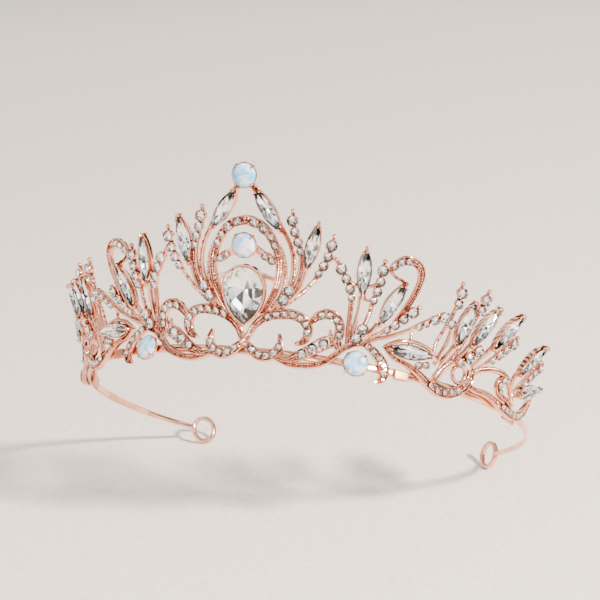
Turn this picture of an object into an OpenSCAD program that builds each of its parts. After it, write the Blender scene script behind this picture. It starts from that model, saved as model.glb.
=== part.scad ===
// Bridal tiara: cast filigree panels set with crystals and opals, soldered to a flat wire
// headband that ends in two ring eyes. Millimetres.
// +Z is up, -Y is the front, and X runs from left to right as seen from the front. The origin
// is below the centre of the headband's circle, on the surface that the tiara stands on.
// A place on the crown is [u, v]: u runs round the headband from the middle of the front and
// v runs up the crown's flared face from the headband's centre line. A third number is the
// width of the casting's bar there.

/* [Headband] */
// Radius of the headband's centre line
band_r = 70; // [60:1:85]
// Height of the flat wire
band_h = 2.4; // [1.8:0.1:3.2]
// Thickness of the flat wire
band_t = 1.2; // [0.9:0.1:1.8]
// Height of the wire at its ends
wire_end_h = 1.5; // [1.2:0.1:1.8]

/* [Ring eyes] */
// Angle from the front to the centre of a ring eye
eye_angle = 134; // [124:1:145]
// Radius of the hole in a ring eye
eye_hole_r = 3.2; // [2:0.1:4.5]
// Width of the ring round the hole
eye_wall = 1.4; // [1:0.1:2.2]
// Thickness of the ring along the hole
eye_t = 1.6; // [1.2:0.1:2.4]

/* [Crown] */
// Height of the top opal's centre above the headband, up the face
crown_h = 51; // [40:1:64]
// Outward lean of the face at the front, in degrees
lean_front = 27; // [15:1:35]
// Lean lost between the front and the sides, in degrees
lean_loss = 12; // [0:1:14]
// Thickness of the castings
cast_t = 1.2; // [0.8:0.1:2]
// Gap left for solder or glue between pieces that touch
joint_gap = 0.02; // [0.01:0.01:0.05]

/* [Stones] */
// Diameter of the large round crystals
big_d = 3.2; // [2.4:0.1:3.8]
// Diameter of the middle round crystals
mid_d = 2.7; // [2:0.1:3.2]
// Diameter of the small round crystals
small_d = 2.1; // [1.6:0.1:2.5]
// Length of a navette crystal
navette_l = 14; // [11:0.1:17.5]
// Width of a navette crystal
navette_w = 4; // [3:0.1:5]
// Height of a navette crystal
navette_h = 2.4; // [1.6:0.1:3.2]
// Width of the pear crystal
pear_w = 12; // [9.5:0.5:14.5]
// Length of the pear crystal
pear_l = 16.6; // [13.5:0.1:20]
// Height of the pear crystal
pear_h = 4.6; // [3:0.1:6]
// Diameter of the opals
opal_d = 7; // [5.5:0.1:8.4]
// Wall of the cups that hold the pear and the opals
cup_wall = 0.5; // [0.4:0.1:0.9]
// Floor of those cups
cup_floor = 0.5; // [0.4:0.1:1]
// Height of those cups above their floor
cup_rise = 1.6; // [1:0.1:2.4]
// Gap between a stone and the wall of its cup
stone_gap = 0.04; // [0.02:0.01:0.1]
// Width of the claws
claw_w = 0.6; // [0.4:0.1:0.9]

/* [Hidden] */
$fn = 48;

ROSE = "#e7a994";
CRYSTAL = "#dfe6ea";
OPAL = "#c9dcec";

drawn_h = 51;                       // the crown height that the pattern's v values are for
band_z = eye_hole_r + eye_wall;     // the ring eyes touch the floor
foot_h = band_h / 2;                // the face stands straight against the headband
bend_l = 8;                         // and bends over this length into its lean
step = 3;                           // about the length of the straight pieces of a bar
flat_room = pow(1.5 * step, 2) / (8 * band_r);    // a straight piece dips this far inwards
face_r = band_r + band_t / 2 + joint_gap + flat_room + cast_t / 2;
bar_w = cast_t / 2 + joint_gap;     // height of a piece that lies on the bars
seat_w = cast_t / 2 + 0.1;          // a cast seat stands this far each side of the middle
front_w = seat_w + joint_gap;       // height of a seated stone's back above the middle
taper_y = 0;                        // the wire narrows behind this line
pad_mid_u = 47;                     // where the front pads are, and their length and drop
pad_mid_l = 4.4;
pad_mid_drop = 2;
pad_end_u = 98;                     // where the inner pads are, and their size
pad_end_l = 9;
pad_end_h = 4;
pad_t = 0.8;
draft = 0.1;                        // how much narrower a bar's front is, each side
row_gap = 0.35;                     // gap between the stones of a row
seat_rim = 0.3;                     // how far a seat stands out round its stone

// ---------- the crown's face ----------

function rise(v) = v > 0 ? v * crown_h / drawn_h : v;
function turn(u) = u / face_r * 180 / PI;
function full_lean(u) = lean_front - lean_loss * (1 - cos(turn(u)));
function lean(u, v) = full_lean(u) * min(1, max(0, (v - foot_h) / bend_l));
function bend_r(u) = bend_l / full_lean(u) * 180 / PI;
function past_bend(v) = max(0, v - foot_h - bend_l);
function face_out(u, v) = bend_r(u) * (1 - cos(lean(u, v))) + past_bend(v) * sin(full_lean(u));
function face_up(u, v) = v <= foot_h ? v
    : foot_h + bend_r(u) * sin(lean(u, v)) + past_bend(v) * cos(full_lean(u));

// Point w in front of the face's middle at u and at height h up the face
function on_face(u, h, w = 0) = let (
        a = lean(u, h),
        r = face_r + face_out(u, h) + w * cos(a))
    [r * sin(turn(u)), -r * cos(turn(u)), band_z + face_up(u, h) - w * sin(a)];

// Puts children on the face: x runs along it, y runs up it and z points out of it
module at(u, h, w = 0) {
    rotate([0, 0, turn(u)])
        translate([0, -face_r - face_out(u, h), band_z + face_up(u, h)])
            rotate([lean(u, h) + 90, 0, 0])
                translate([0, 0, w]) children();
}

// ---------- bars: smooth paths of [u, v, width] ----------

function between(a, b, c, d, t) = 0.5 * (2 * b + (c - a) * t + (2 * a - 5 * b + 4 * c - d) * t * t
    + (3 * b - a - 3 * c + d) * t * t * t);
function smooth(p) = let (last = len(p) - 1) [
    for (i = [0 : last - 1])
        let (n = max(1, round(norm([p[i + 1][0] - p[i][0], p[i + 1][1] - p[i][1]]) / step)))
            for (k = [0 : n - 1])
                between(p[max(i - 1, 0)], p[i], p[i + 1], p[min(i + 2, last)], k / n),
    p[last]];
function raised(path) = [for (p = smooth(path)) [p[0], rise(p[1]), max(0.6, p[2])]];
function unit(a) = a / norm(a);

// One cast bar along a path, a little narrower in front than behind
module bar(path, grow = 0) {
    p = raised(path);
    last = len(p) - 1;
    t = cast_t / 2 + grow;
    rings = [for (i = [0 : last]) let (
            q = p[i],
            a = p[max(i - 1, 0)],
            b = p[min(i + 1, last)],
            mid = on_face(q[0], q[1]),
            out = on_face(q[0], q[1], 1) - mid,
            along = on_face(b[0], b[1]) - on_face(a[0], a[1]),
            side = unit(cross(out, along)),
            w = q[2] / 2 + grow,
            f = w - draft)
        for (c = [[-w, -t], [w, -t], [f, t], [-f, t]]) mid + side * c[0] + out * c[1]];
    sides = [for (i = [0 : last - 1]) for (k = [0 : 3]) let (
            a = 4 * i + k,
            b = 4 * i + (k + 1) % 4)
        for (f = [[a, b + 4, b], [a, a + 4, b + 4]]) f];
    ends = [[0, 1, 2, 3], [for (k = [3 : -1 : 0]) 4 * last + k]];
    polyhedron(rings, concat(sides, ends));
}

// ---------- rows of round stones along a path ----------

function spread(p, d) = norm(on_face(p[0], p[1]) - on_face(d[0], d[1]));
function lengths(p, i = 1, sum = [0]) = i >= len(p) ? sum
    : lengths(p, i + 1, concat(sum, sum[i - 1] + spread(p[i], p[i - 1])));
function before(sizes, i) = i == 0 ? 0 : before(sizes, i - 1) + sizes[i - 1];

// [u, height, diameter, direction of the row, first] of each stone of a row
function row_places(row) = let (
        p = raised(row[0]),
        s = lengths(p),
        us = [for (i = [0 : len(p) - 1]) [s[i], p[i][0]]],
        hs = [for (i = [0 : len(p) - 1]) [s[i], p[i][1]]])
    [for (i = [0 : len(row[2]) - 1]) let (
            at = row[1] + before(row[2], i) + i * row[3] + row[2][i] / 2,
            u = lookup(at, us),
            h = lookup(at, hs),
            reach = 1 + face_out(u, h) / face_r,
            on = at + 0.5,
            way = atan2(lookup(on, hs) - h, (lookup(on, us) - u) * reach))
        [u, h, row[2][i], way, i == 0]];
function places(rows) = [for (row = rows) for (p = row_places(row)) p];

// A round crystal: flat back, short girdle, bevelled crown and flat table
module round_crystal(d) {
    rotate_extrude() polygon([[0, 0], [d * 0.4, 0], [d / 2, d * 0.16], [d / 2, d * 0.24],
        [d * 0.28, d * 0.44], [0, d * 0.44]]);
}

// Height of a channel stone's flat back: it clears the hollow where the face bends
function channel_w(u, h, d) = bar_w
    + (h + d > foot_h && h - d < foot_h + bend_l ? pow(d + 1, 2) / (8 * bend_r(u)) : 0);

module rounds(stems, channels) {
    for (p = places(stems)) at(p[0], p[1], front_w) round_crystal(p[2]);
    for (p = places(channels)) at(p[0], p[1], channel_w(p[0], p[1], p[2])) round_crystal(p[2]);
}

// Cast seat under a round stone
module seat(d) {
    cylinder(h = 2 * seat_w, d = d + 2 * seat_rim, center = true, $fn = d < big_d ? 6 : 8);
}

module claw(reach, height) {
    hull() {
        translate([reach, -claw_w / 2, -cast_t / 2]) cube([claw_w * 0.8, claw_w, cast_t / 2]);
        translate([reach, -claw_w / 2, height]) cube([claw_w * 0.5, claw_w, 0.1]);
    }
}

module seats(rows) {
    for (p = places(rows)) at(p[0], p[1]) {
        seat(p[2]);
        if (p[2] == big_d)
            for (a = p[4] ? [90, 180, 270] : [90, 270])
                rotate(p[3] + a) claw(p[2] / 2 + joint_gap, front_w + p[2] * 0.3);
    }
}

// ---------- navettes: [root u, root v, slant from upright] ----------

module navette_outline(grow) {
    l = navette_l / 2 + grow;
    w = navette_w / 2 + grow;
    r = (l * l + w * w) / (2 * w);
    intersection() {
        translate([r - w, 0]) circle(r, $fn = 28);
        translate([w - r, 0]) circle(r, $fn = 28);
    }
}

module at_navette(n, w = 0) {
    at(n[0], rise(n[1]), w) rotate(-n[2]) translate([0, navette_l / 2, 0]) children();
}

module navette_crystal(n) {
    girdle = navette_h * 0.35;
    color(CRYSTAL) at_navette(n, front_w) hull() {
        linear_extrude(girdle) navette_outline(-0.15);
        translate([0, 0, girdle]) linear_extrude(0.1) navette_outline(0);
        translate([0, 0, navette_h - 0.1]) scale([0.45, 0.72, 1]) linear_extrude(0.1)
            navette_outline(0);
    }
}

// Cast seat of a navette with a claw round each tip
module navette_seat(n) {
    at_navette(n) {
        linear_extrude(2 * seat_w, center = true) navette_seat_outline();
        for (a = [90, 270]) rotate(a)
            translate([navette_l / 2 + joint_gap, 0, 0]) claw(0, front_w + navette_h * 0.6);
    }
}

module navette_seat_outline() {
    l = navette_l / 2 + claw_w;
    w = navette_w / 2;
    c = claw_w / 2;
    polygon([[w, 0], [w * 0.72, l * 0.5], [c, l], [-c, l], [-w * 0.72, l * 0.5], [-w, 0],
        [-w * 0.72, -l * 0.5], [-c, -l], [c, -l], [w * 0.72, -l * 0.5]]);
}

// ---------- pear and opals ----------

junction_v = 7.6;                              // where the pear's tip rests on the scrolls
pear_tip = pear_l - pear_w / 2;                // from the pear's widest line to its tip
pear_hh = rise(junction_v) + cup_wall + pear_tip;
opal_hh = pear_hh + pear_w / 2 + opal_d / 2 + 2 * cup_wall + 1.6;
cup_back = bar_w + cup_floor;                  // height of a cupped stone's back

// Pear outline about its widest line: a half circle over two long arcs that meet at the tip
module pear_outline(grow) {
    w = pear_w / 2 + grow;
    tip = pear_tip + 1.6 * grow;
    r = (tip * tip + w * w) / (2 * w);
    union() {
        intersection() {
            circle(w);
            translate([-w, 0]) square([2 * w, w]);
        }
        intersection() {
            translate([r - w, 0]) circle(r, $fn = 60);
            translate([w - r, 0]) circle(r, $fn = 60);
            translate([-w, -tip]) square([2 * w, tip + 0.01]);
        }
    }
}

module pear_cup() {
    color(ROSE) at(0, pear_hh, bar_w) difference() {
        linear_extrude(cup_floor + cup_rise) pear_outline(cup_wall + stone_gap);
        translate([0, 0, cup_floor]) linear_extrude(cup_rise + 1) pear_outline(stone_gap);
    }
}

module pear_crystal() {
    girdle = cup_rise * 0.9;
    color(CRYSTAL) at(0, pear_hh, cup_back + joint_gap) {
        linear_extrude(girdle) pear_outline(0);
        hull() {
            translate([0, 0, girdle]) linear_extrude(0.1) pear_outline(0);
            translate([0, 0.4, pear_h - 0.1]) scale([0.55, 0.55, 1]) linear_extrude(0.1)
                pear_outline(0);
        }
    }
}

module round_cup() {
    color(ROSE) rotate_extrude() polygon([[0, 0], [opal_d / 2 - 0.6, 0],
        [opal_d / 2 + cup_wall + stone_gap, cup_floor + 0.5],
        [opal_d / 2 + cup_wall + stone_gap, cup_floor + cup_rise],
        [opal_d / 2 + stone_gap, cup_floor + cup_rise],
        [opal_d / 2 + stone_gap, cup_floor], [0, cup_floor]]);
}

module opal() {
    girdle = cup_rise * 0.8;
    color(OPAL) translate([0, 0, cup_floor + joint_gap]) rotate_extrude() polygon([[0, 0],
        [opal_d / 2, 0], [opal_d / 2, girdle], [opal_d * 0.4, girdle + opal_d * 0.14],
        [opal_d * 0.22, girdle + opal_d * 0.22], [0, girdle + opal_d * 0.22]]);
}

// ---------- the pattern of the right half ----------

DOME = [[-0.6, 48.5, 1.8], [2.4, 47, 1.4], [5.2, 43, 1.3], [7.4, 39, 1.3], [9.4, 35.2, 1.3],
    [11.2, 31.4, 1.3], [12.3, 27, 1.4], [12.3, 22, 1.5], [10.8, 16.8, 1.7], [7.8, 12.2, 1.8]];
ARCH = [[-0.6, 37.9, 2.8], [2.5, 37.3, 2.8], [4.9, 35.4, 2.7], [6.6, 32.8, 2.5], [7.8, 30, 2.4],
    [8.8, 26.6, 2.3], [8.9, 22.6, 2.3], [8.2, 18.4, 2.2], [6.6, 14.4, 2], [4.6, 10.6, 1.6]];
ROPE = [[8.4, 31.4, 1], [10, 27, 1.2], [10.5, 22, 1.3], [9.8, 17.2, 1.4], [7.6, 12.6, 1.6]];
COLLAR = [[8.6, 26.4, 1.6], [7, 26.4, 2.4], [5.4, 27.6, 2.6], [3.8, 28.2, 1.6], [2.4, 29.2, 0.8]];
CRADLE = [[-0.5, 22.5, 1.4], [4, 22.2, 1.4], [8.7, 20.6, 1.4]];
YOKE = [[-0.5, 31.2, 3.4], [2.6, 29.8, 1.6], [5, 28.2, 1.4]];
STEM_1 = [[11.2, 41.4, 1], [11.3, 39, 1.4], [12.1, 35.6, 1.5], [13.2, 32.4, 1.5],
    [13.9, 29.4, 1.5], [14.2, 26, 1.4], [13.7, 21.6, 1.4], [12, 17.2, 1.5], [8.8, 13.2, 1.7]];
STEM_2 = [[15.7, 25.8, 1.6], [14.9, 20.8, 1.4], [13.2, 17, 1.5], [10.2, 13.6, 1.7]];
STEM_3 = [[21.5, 35.6, 1], [21.2, 33.2, 1.4], [20.8, 29.9, 1.5], [19.9, 26.8, 1.5],
    [18.8, 24, 1.5], [17.4, 21.2, 1.4], [15.2, 18, 1.5], [12.2, 15.2, 1.6], [8.6, 12.4, 1.8]];
SCROLL = [[-0.6, 1.3, 2.4], [1.1, 4.2, 2], [2.5, 7, 2.4], [4.8, 9.4, 2.9], [7.6, 10.8, 3],
    [10.6, 11.4, 3], [13.6, 11.5, 3], [16.2, 10.5, 3], [17.9, 8.4, 3], [18, 6, 2.8],
    [16.9, 4, 2.2], [14.8, 3, 0.9]];
HOOK = [[-0.7, 2.7, 2.4], [1.6, 0.9, 2.6], [3.4, -0.6, 3], [5.6, -1.6, 3], [8, -1.3, 3],
    [9.9, 0.3, 3], [10.7, 2.6, 2.2], [10.1, 5.6, 0.8]];

HEART = [[18.2, 9.4, 1.8], [19.8, 11.6, 2.6], [22.2, 13, 3], [24.7, 12.7, 3], [26.4, 10.8, 3],
    [26.9, 8.2, 3], [26.7, 5.2, 2.8], [28, 2.8, 2]];
LEAF = [[26.2, 5, 1.8], [24.8, 6.4, 1.6], [24.2, 8.6, 0.7]];
TRAIL = [[10, -1.4, 1.6], [13.4, -1.7, 2], [16, -0.4, 3], [18.6, 1.2, 3.4], [21.2, 3.1, 3.8],
    [23.9, 4.9, 4], [26.6, 5.6, 2.8]];
SWOOSH = [[9.6, -1.6, 1.4], [13.6, -2.8, 1.9], [18.2, -2.9, 1.9], [23.2, -1.4, 1.9],
    [26.6, 1.6, 1.9], [29.6, 4.6, 1.9], [33.2, 6.2, 1.9], [36.2, 5.5, 2.2], [38.7, 3.7, 2.7],
    [40.8, 1.6, 2.9], [41.6, -0.9, 2.8], [41, -3.2, 2.2], [39.2, -4.1, 0.9]];
FAN_1 = [[22.8, 29, 1], [24, 27.4, 1.4], [26, 24.2, 1.5], [27.5, 21.4, 1.5], [28.4, 18.4, 1.5],
    [28.8, 14, 1.5], [29.3, 9.4, 1.5], [29.8, 5, 1.6]];
FAN_2 = [[30.8, 19.8, 1.6], [30.9, 15.6, 1.4], [30.7, 10.4, 1.4], [30.5, 5.4, 1.6]];
FAN_3 = [[34.9, 31, 1], [34.7, 28.4, 1.4], [34.8, 24.9, 1.5], [34.5, 21.6, 1.5],
    [34.1, 18.6, 1.5], [33.9, 14.8, 1.5], [33.1, 10.8, 1.7], [31.6, 5.6, 1.8]];
TIE = [[21, 30, 1.2], [22.6, 29.2, 1.2], [24, 27.4, 1.2]];
RAIL = [[26, 24.2, 1], [28.4, 22.8, 1], [30.8, 22.4, 1], [33, 23.2, 1], [34.8, 24.8, 1]];
LOOP = [[31.2, 21.4, 0.9], [32, 19, 0.9], [33.4, 19, 0.9], [34.4, 21, 0.9]];
FAN_4 = [[37, 12.8, 1.6], [35.4, 9.6, 1.5], [32.8, 5.8, 1.7]];
CROOK = [[41.4, 14, 1.4], [43.2, 18.4, 1.5], [44.7, 23.4, 1.7], [45.2, 27.8, 2],
    [44.4, 31, 2.4], [42.2, 32.6, 2.7], [39.8, 32.4, 2.7], [37.9, 31, 2.2], [36.8, 29, 1.2],
    [38.4, 27.2, 1], [40.4, 26.6, 1], [41.6, 24.8, 1.1]];
FAN_5 = [[47.1, 20, 1], [45.4, 18.2, 1.4], [43, 15.2, 1.5], [41, 12.9, 1.5], [38.6, 10.5, 1.5],
    [35.4, 8, 1.5], [32.4, 5.4, 1.7]];
BAR_5 = [[33.4, 6, 1.6], [37, 7.9, 1.3], [40.6, 9.6, 1.2], [43.8, 11.4, 1.2], [46.4, 13, 1.4]];

ROW = [[46.2, 12.8, 1.4], [48.8, 15, 1.5], [51.6, 17.2, 1.6], [54.4, 19.4, 1.6],
    [57, 18.8, 1.4], [58.6, 16.8, 1.2], [58.8, 12.4, 1.2], [58, 8, 1.4], [57.2, 5, 1.6]];
POST = [[46.8, 13.4, 1.2], [47.5, 10.8, 1.2], [48, 7.6, 1.4]];
FRAME_TOP = [[40.4, 6.6, 1.2], [44, 9, 1.1], [49, 9.9, 1.1], [54, 9, 1.2], [57.4, 6.4, 1.5]];
FRAME_BASE = [[40.4, 6.8, 1.2], [43.6, 4.2, 1.4], [48, 3, 1.8], [52, 1.4, 2.2],
    [55.6, -0.9, 2.6], [59.4, -2.3, 2.9], [63.2, -2.1, 3], [66.6, -0.5, 3], [69.2, 1.7, 3],
    [70.6, 4.4, 2.6], [70.4, 7, 2]];
SPRAY_1 = [[57.1, 30, 1], [57.4, 27.2, 1.4], [57.7, 23.4, 1.5], [57.2, 19, 1.4],
    [56.2, 14.8, 1.3], [55.4, 11, 1.3], [56.2, 6.4, 1.6]];
SPRAY_2 = [[61.6, 12, 1.6], [60.4, 8.8, 1.5], [58.2, 4.6, 1.8]];
SPRAY_3 = [[66, 30.2, 1], [65.5, 27.4, 1.4], [65.3, 23.4, 1.5], [64.9, 19, 1.3],
    [64.2, 14, 1.3], [62.8, 9.6, 1.4], [60.4, 4.6, 1.8]];
SPRAY_4 = [[66.6, 13.6, 1.6], [65.2, 10.4, 1.5], [62.6, 6.4, 1.7]];
SPRAY_5 = [[74.8, 15, 1.6], [72.8, 11.6, 1.5], [70.4, 7.6, 1.8]];
SPRAY_6 = [[83.6, 21, 1], [82, 18.6, 1.4], [79.4, 15.6, 1.5], [77.2, 12.8, 1.5],
    [75, 10, 1.5], [72.6, 7.6, 1.6], [70.2, 5.2, 1.8]];
INNER = [[71, 14.6, 1.2], [69.6, 12.8, 1.8], [67.6, 10.2, 2], [65.4, 8, 2], [62.4, 6.6, 2.2],
    [60, 4, 2.6], [58.2, 1, 2.6]];
ROUND_EYE = [for (a = [0 : 30 : 360]) [66.4 + 2.4 * cos(a), 4.6 + 2.6 * sin(a), 1.1]];

SAIL = [[71.2, 2, 1.6], [73.6, 1.6, 1.8], [77, 1.7, 2], [81, 1.3, 2.2], [85, 0.4, 2.5],
    [89, -0.5, 2.8], [93.4, -0.8, 3], [97.8, -0.2, 3], [101.8, 1.6, 2.8], [105, 4.4, 2.4],
    [107, 7.6, 0.9]];
BRIDGE = [[71.4, 6.2, 1.8], [75, 8.2, 1.7], [79.4, 9.4, 1.7], [84, 9.6, 1.7], [88, 8.4, 1.8],
    [92, 5.4, 2], [94, 1.4, 2.2]];
CLASP = [[88, 8.6, 1.6], [85.4, 8.2, 2.4], [83.8, 6.4, 2.5], [84.4, 4.2, 2.2], [87, 3, 1.8],
    [90, 2.6, 1.6], [93, 1.4, 1.8]];
END_1 = [[91, 11.4, 1.6], [90.6, 8.6, 1.5], [91.6, 4.8, 1.7]];
END_2 = [[103.6, 19, 1], [102.2, 17.2, 1.4], [99.6, 14.2, 1.5], [97.2, 11.6, 1.5],
    [95, 8.6, 1.5], [93.4, 4.8, 1.7], [93.6, 1.2, 1.8]];
END_3 = [[94.6, 6.6, 1.6], [93.4, 3.6, 1.7], [93.8, 0.6, 1.8]];

CENTRE_BARS = [DOME, ARCH, ROPE, COLLAR, CRADLE, YOKE, STEM_1, STEM_2, STEM_3, SCROLL, HOOK];
SIDE_BARS = [HEART, LEAF, TRAIL, SWOOSH, FAN_1, FAN_2, FAN_3, TIE, RAIL, LOOP, FAN_4, CROOK,
    FAN_5, BAR_5];
OUTER_BARS = [ROW, POST, FRAME_TOP, FRAME_BASE, SPRAY_1, SPRAY_2, SPRAY_3, SPRAY_4, SPRAY_5,
    SPRAY_6, INNER, ROUND_EYE];
END_BARS = [SAIL, BRIDGE, CLASP, END_1, END_2, END_3];

// Rows of round crystals: [path, distance from its start, diameters, gap]. A row on a stem has
// a cast seat under each stone, and a row in a channel lies on a bar as wide as its stones.
BUD = [big_d, mid_d, mid_d, small_d];
CENTRE_STEMS = [
    [ARCH, 1.9, [mid_d, mid_d, small_d, small_d], 0.7],
    [STEM_1, 1, BUD, row_gap],
    [STEM_3, 1, BUD, row_gap],
    [[[12.6, 19.9, 1.5], [10.4, 15.4, 1.5]], 0, [big_d, big_d], 0.1]];
CENTRE_CHANNELS = [
    [COLLAR, 1, [small_d, small_d], 0.2],
    [SCROLL, 10.7, [for (i = [1 : 7]) small_d], row_gap],
    [HOOK, 3.2, [for (i = [1 : 5]) small_d], row_gap]];
SIDE_STEMS = [
    [FAN_1, 1.2, BUD, row_gap],
    [FAN_3, 1, BUD, row_gap],
    [[[33.6, 12, 1.5], [31.2, 6, 1.5]], 0, [big_d, big_d], 0.1],
    [FAN_5, 0.8, BUD, row_gap]];
SIDE_CHANNELS = [
    [HEART, 3.6, [for (i = [1 : 5]) small_d], row_gap],
    [TRAIL, 6.4, [mid_d, big_d, big_d], row_gap],
    [SWOOSH, 28.2, [for (i = [1 : 5]) small_d], row_gap],
    [CROOK, 21.4, [small_d, small_d, small_d], 0.3]];
OUTER_STEMS = [
    [ROW, 2, [small_d, small_d, mid_d, big_d, mid_d], row_gap],
    [[[50.6, 3.2, 1.5], [55, 4.5, 1.5]], 0, [small_d, small_d], 0.3],
    [SPRAY_1, 1, [big_d, mid_d], row_gap],
    [SPRAY_3, 1, [big_d, mid_d], row_gap],
    [SPRAY_6, 1, BUD, row_gap],
    [INNER, 0.6, [big_d, big_d, mid_d], row_gap]];
OUTER_CHANNELS = [
    [FRAME_BASE, 17.6, [for (i = [1 : 5]) small_d], 0.5]];
END_STEMS = [
    [END_2, 1, BUD, row_gap]];
END_CHANNELS = [
    [SAIL, 15.5, [for (i = [1 : 6]) small_d], row_gap],
    [CLASP, 2, [small_d, small_d, small_d], row_gap]];

// Navettes: [root u, root v, slant from upright, positive to the right]
// The apex navettes keep their upper tips this far below the apex cup
APEX_TIP_GAP = 0.234;
APEX_TIP_U = 0.371;
APEX_LEAN = 36;
APEX_ROOT_UP = crown_h - opal_d / 2 - stone_gap - cup_wall - APEX_TIP_GAP
    - navette_l * cos(APEX_LEAN);
APEX_NAVETTE = [APEX_TIP_U + navette_l * sin(APEX_LEAN), APEX_ROOT_UP * drawn_h / crown_h,
    -APEX_LEAN];
CREST_NAVETTE = [15.7, 25, 9];
FAN_NAVETTE = [30.9, 19.8, -6];
CROOK_NAVETTE = [37.2, 12.8, 20];
LYING_NAVETTE = [41.4, 6.4, 88];
OUTER_NAVETTES = [[61.5, 12, 5], [66.6, 13.6, 21], [74.9, 15, 27]];
END_UPPER_NAVETTE = [91.2, 11.6, 36];
END_LOWER_NAVETTE = [95, 5.6, 66];

// ---------- sides ----------

// Draws children on the right (side 1) or mirrored onto the left (side -1)
module on(side) {
    if (side > 0) children();
    else mirror([1, 0, 0]) children();
}
module both() {
    for (side = [-1, 1]) on(side) children();
}

module bars(paths, grow = 0) {
    for (p = paths) bar(p, grow);
}

// What a neighbouring casting takes up, with room for solder
module neighbour(paths, stems) {
    bars(paths, joint_gap);
    for (p = places(stems)) at(p[0], p[1])
        cylinder(h = 3 * cast_t, d = p[2] + 2 * (seat_rim + joint_gap), center = true, $fn = 8);
}

module casting(paths, stems, navettes) {
    bars(paths);
    seats(stems);
    for (n = navettes) navette_seat(n);
}

// ---------- headband ----------

// The wire is cut from a bent flat strip whose edges run together towards its ends
module headband() {
    wire_end = eye_angle - asin((eye_hole_r + eye_wall + joint_gap) / band_r);
    end_y = -band_r * cos(wire_end);
    slope = atan((band_h - wire_end_h) / 2 / (end_y - taper_y));
    color(ROSE) translate([0, 0, band_z]) difference() {
        rotate([0, 0, -90 - wire_end]) rotate_extrude(angle = 2 * wire_end, $fn = 180)
            translate([band_r, 0]) flat_section();
        for (up = [0, 1]) mirror([0, 0, up])
            translate([0, taper_y, band_h / 2]) rotate([-slope, 0, 0])
                translate([-2 * band_r, -2 * band_r, 0]) cube([4 * band_r, 4 * band_r, band_h]);
    }
}

module flat_section() {
    c = band_t * 0.25;
    t = band_t / 2;
    h = band_h / 2;
    polygon([[-t, c - h], [c - t, -h], [t - c, -h], [t, c - h], [t, h - c], [t - c, h],
        [c - t, h], [-t, h - c]]);
}

// A ring eye: its hole runs square to the wire, towards the middle of the head
module eye(side) {
    r = eye_hole_r + eye_wall;
    c = eye_wall * 0.3;
    h = eye_t / 2;
    color(ROSE) on(side) rotate([0, 0, eye_angle]) translate([0, -band_r, band_z])
        rotate([90, 0, 0]) rotate_extrude() polygon([[eye_hole_r, -h], [r - c, -h], [r, c - h],
            [r, h - c], [r - c, h], [eye_hole_r, h]]);
}

// Brazed plates: one in front of the headband, and one inside it behind the end casting
module pad_mid(side) {
    color(ROSE) on(side) rotate([0, 0, turn(pad_mid_u)])
        translate([-pad_mid_l / 2, -band_r - band_t / 2 - cast_t, band_z - pad_mid_drop])
            cube([pad_mid_l, cast_t - joint_gap, pad_mid_drop + band_h / 3]);
}

module pad_end(side) {
    inner_r = band_r - band_t / 2 - joint_gap;
    face_y = sqrt(inner_r * inner_r - pad_end_l * pad_end_l / 4);
    color(ROSE) on(side) rotate([0, 0, turn(pad_end_u)])
        translate([-pad_end_l / 2, -face_y, band_z - pad_end_h / 2])
            cube([pad_end_l, pad_t, pad_end_h]);
}

// ---------- castings ----------

module centre_casting() {
    color(ROSE) {
        both() casting(CENTRE_BARS, CENTRE_STEMS, [APEX_NAVETTE, CREST_NAVETTE]);
        at(0, rise(drawn_h))
            cylinder(h = 2 * seat_w, d = opal_d * 0.74, center = true, $fn = 12);
    }
}

module side_casting(side) {
    color(ROSE) on(side) difference() {
        casting(SIDE_BARS, SIDE_STEMS, [FAN_NAVETTE, CROOK_NAVETTE]);
        neighbour([SCROLL, HOOK, STEM_3], CENTRE_STEMS);
        side_cup_room();
    }
}

// What a side opal's cup takes up, with room for solder
module side_cup_room() {
    rotate([0, 0, turn(SIDE_OPAL_U)]) translate([0, -band_r, band_z]) rotate([90, 0, 0])
        cylinder(h = 4 * cast_t, r = opal_d / 2 + stone_gap + cup_wall + joint_gap, $fn = 32);
}

module outer_casting(side) {
    color(ROSE) on(side) difference() {
        casting(OUTER_BARS, OUTER_STEMS, concat([LYING_NAVETTE], OUTER_NAVETTES));
        neighbour([SWOOSH, BAR_5, FAN_5], SIDE_STEMS);
    }
}

module end_casting(side) {
    color(ROSE) on(side) difference() {
        casting(END_BARS, END_STEMS, [END_UPPER_NAVETTE, END_LOWER_NAVETTE]);
        neighbour([FRAME_BASE, SPRAY_5, SPRAY_6], OUTER_STEMS);
    }
}

// ---------- stones and cups in place ----------

NAVETTES = [["apex", APEX_NAVETTE], ["crest", CREST_NAVETTE], ["fan", FAN_NAVETTE],
    ["crook", CROOK_NAVETTE], ["lying", LYING_NAVETTE], ["outer_1", OUTER_NAVETTES[0]],
    ["outer_2", OUTER_NAVETTES[1]], ["outer_3", OUTER_NAVETTES[2]],
    ["end_upper", END_UPPER_NAVETTE], ["end_lower", END_LOWER_NAVETTE]];

SIDE_OPAL_U = 32.8;         // where the side opals stand on the headband

module apex_place() {
    at(0, rise(drawn_h), front_w) children();
}
module centre_place() {
    at(0, opal_hh, bar_w) children();
}
module side_place(side) {
    on(side) rotate([0, 0, turn(SIDE_OPAL_U)])
        translate([0, -band_r - band_t / 2 - joint_gap, band_z]) rotate([90, 0, 0]) children();
}

module rounds_centre() {
    color(CRYSTAL) both() rounds(CENTRE_STEMS, CENTRE_CHANNELS);
}
module rounds_of(side, stems, channels) {
    color(CRYSTAL) on(side) rounds(stems, channels);
}

// ---------- nodes ----------

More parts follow.
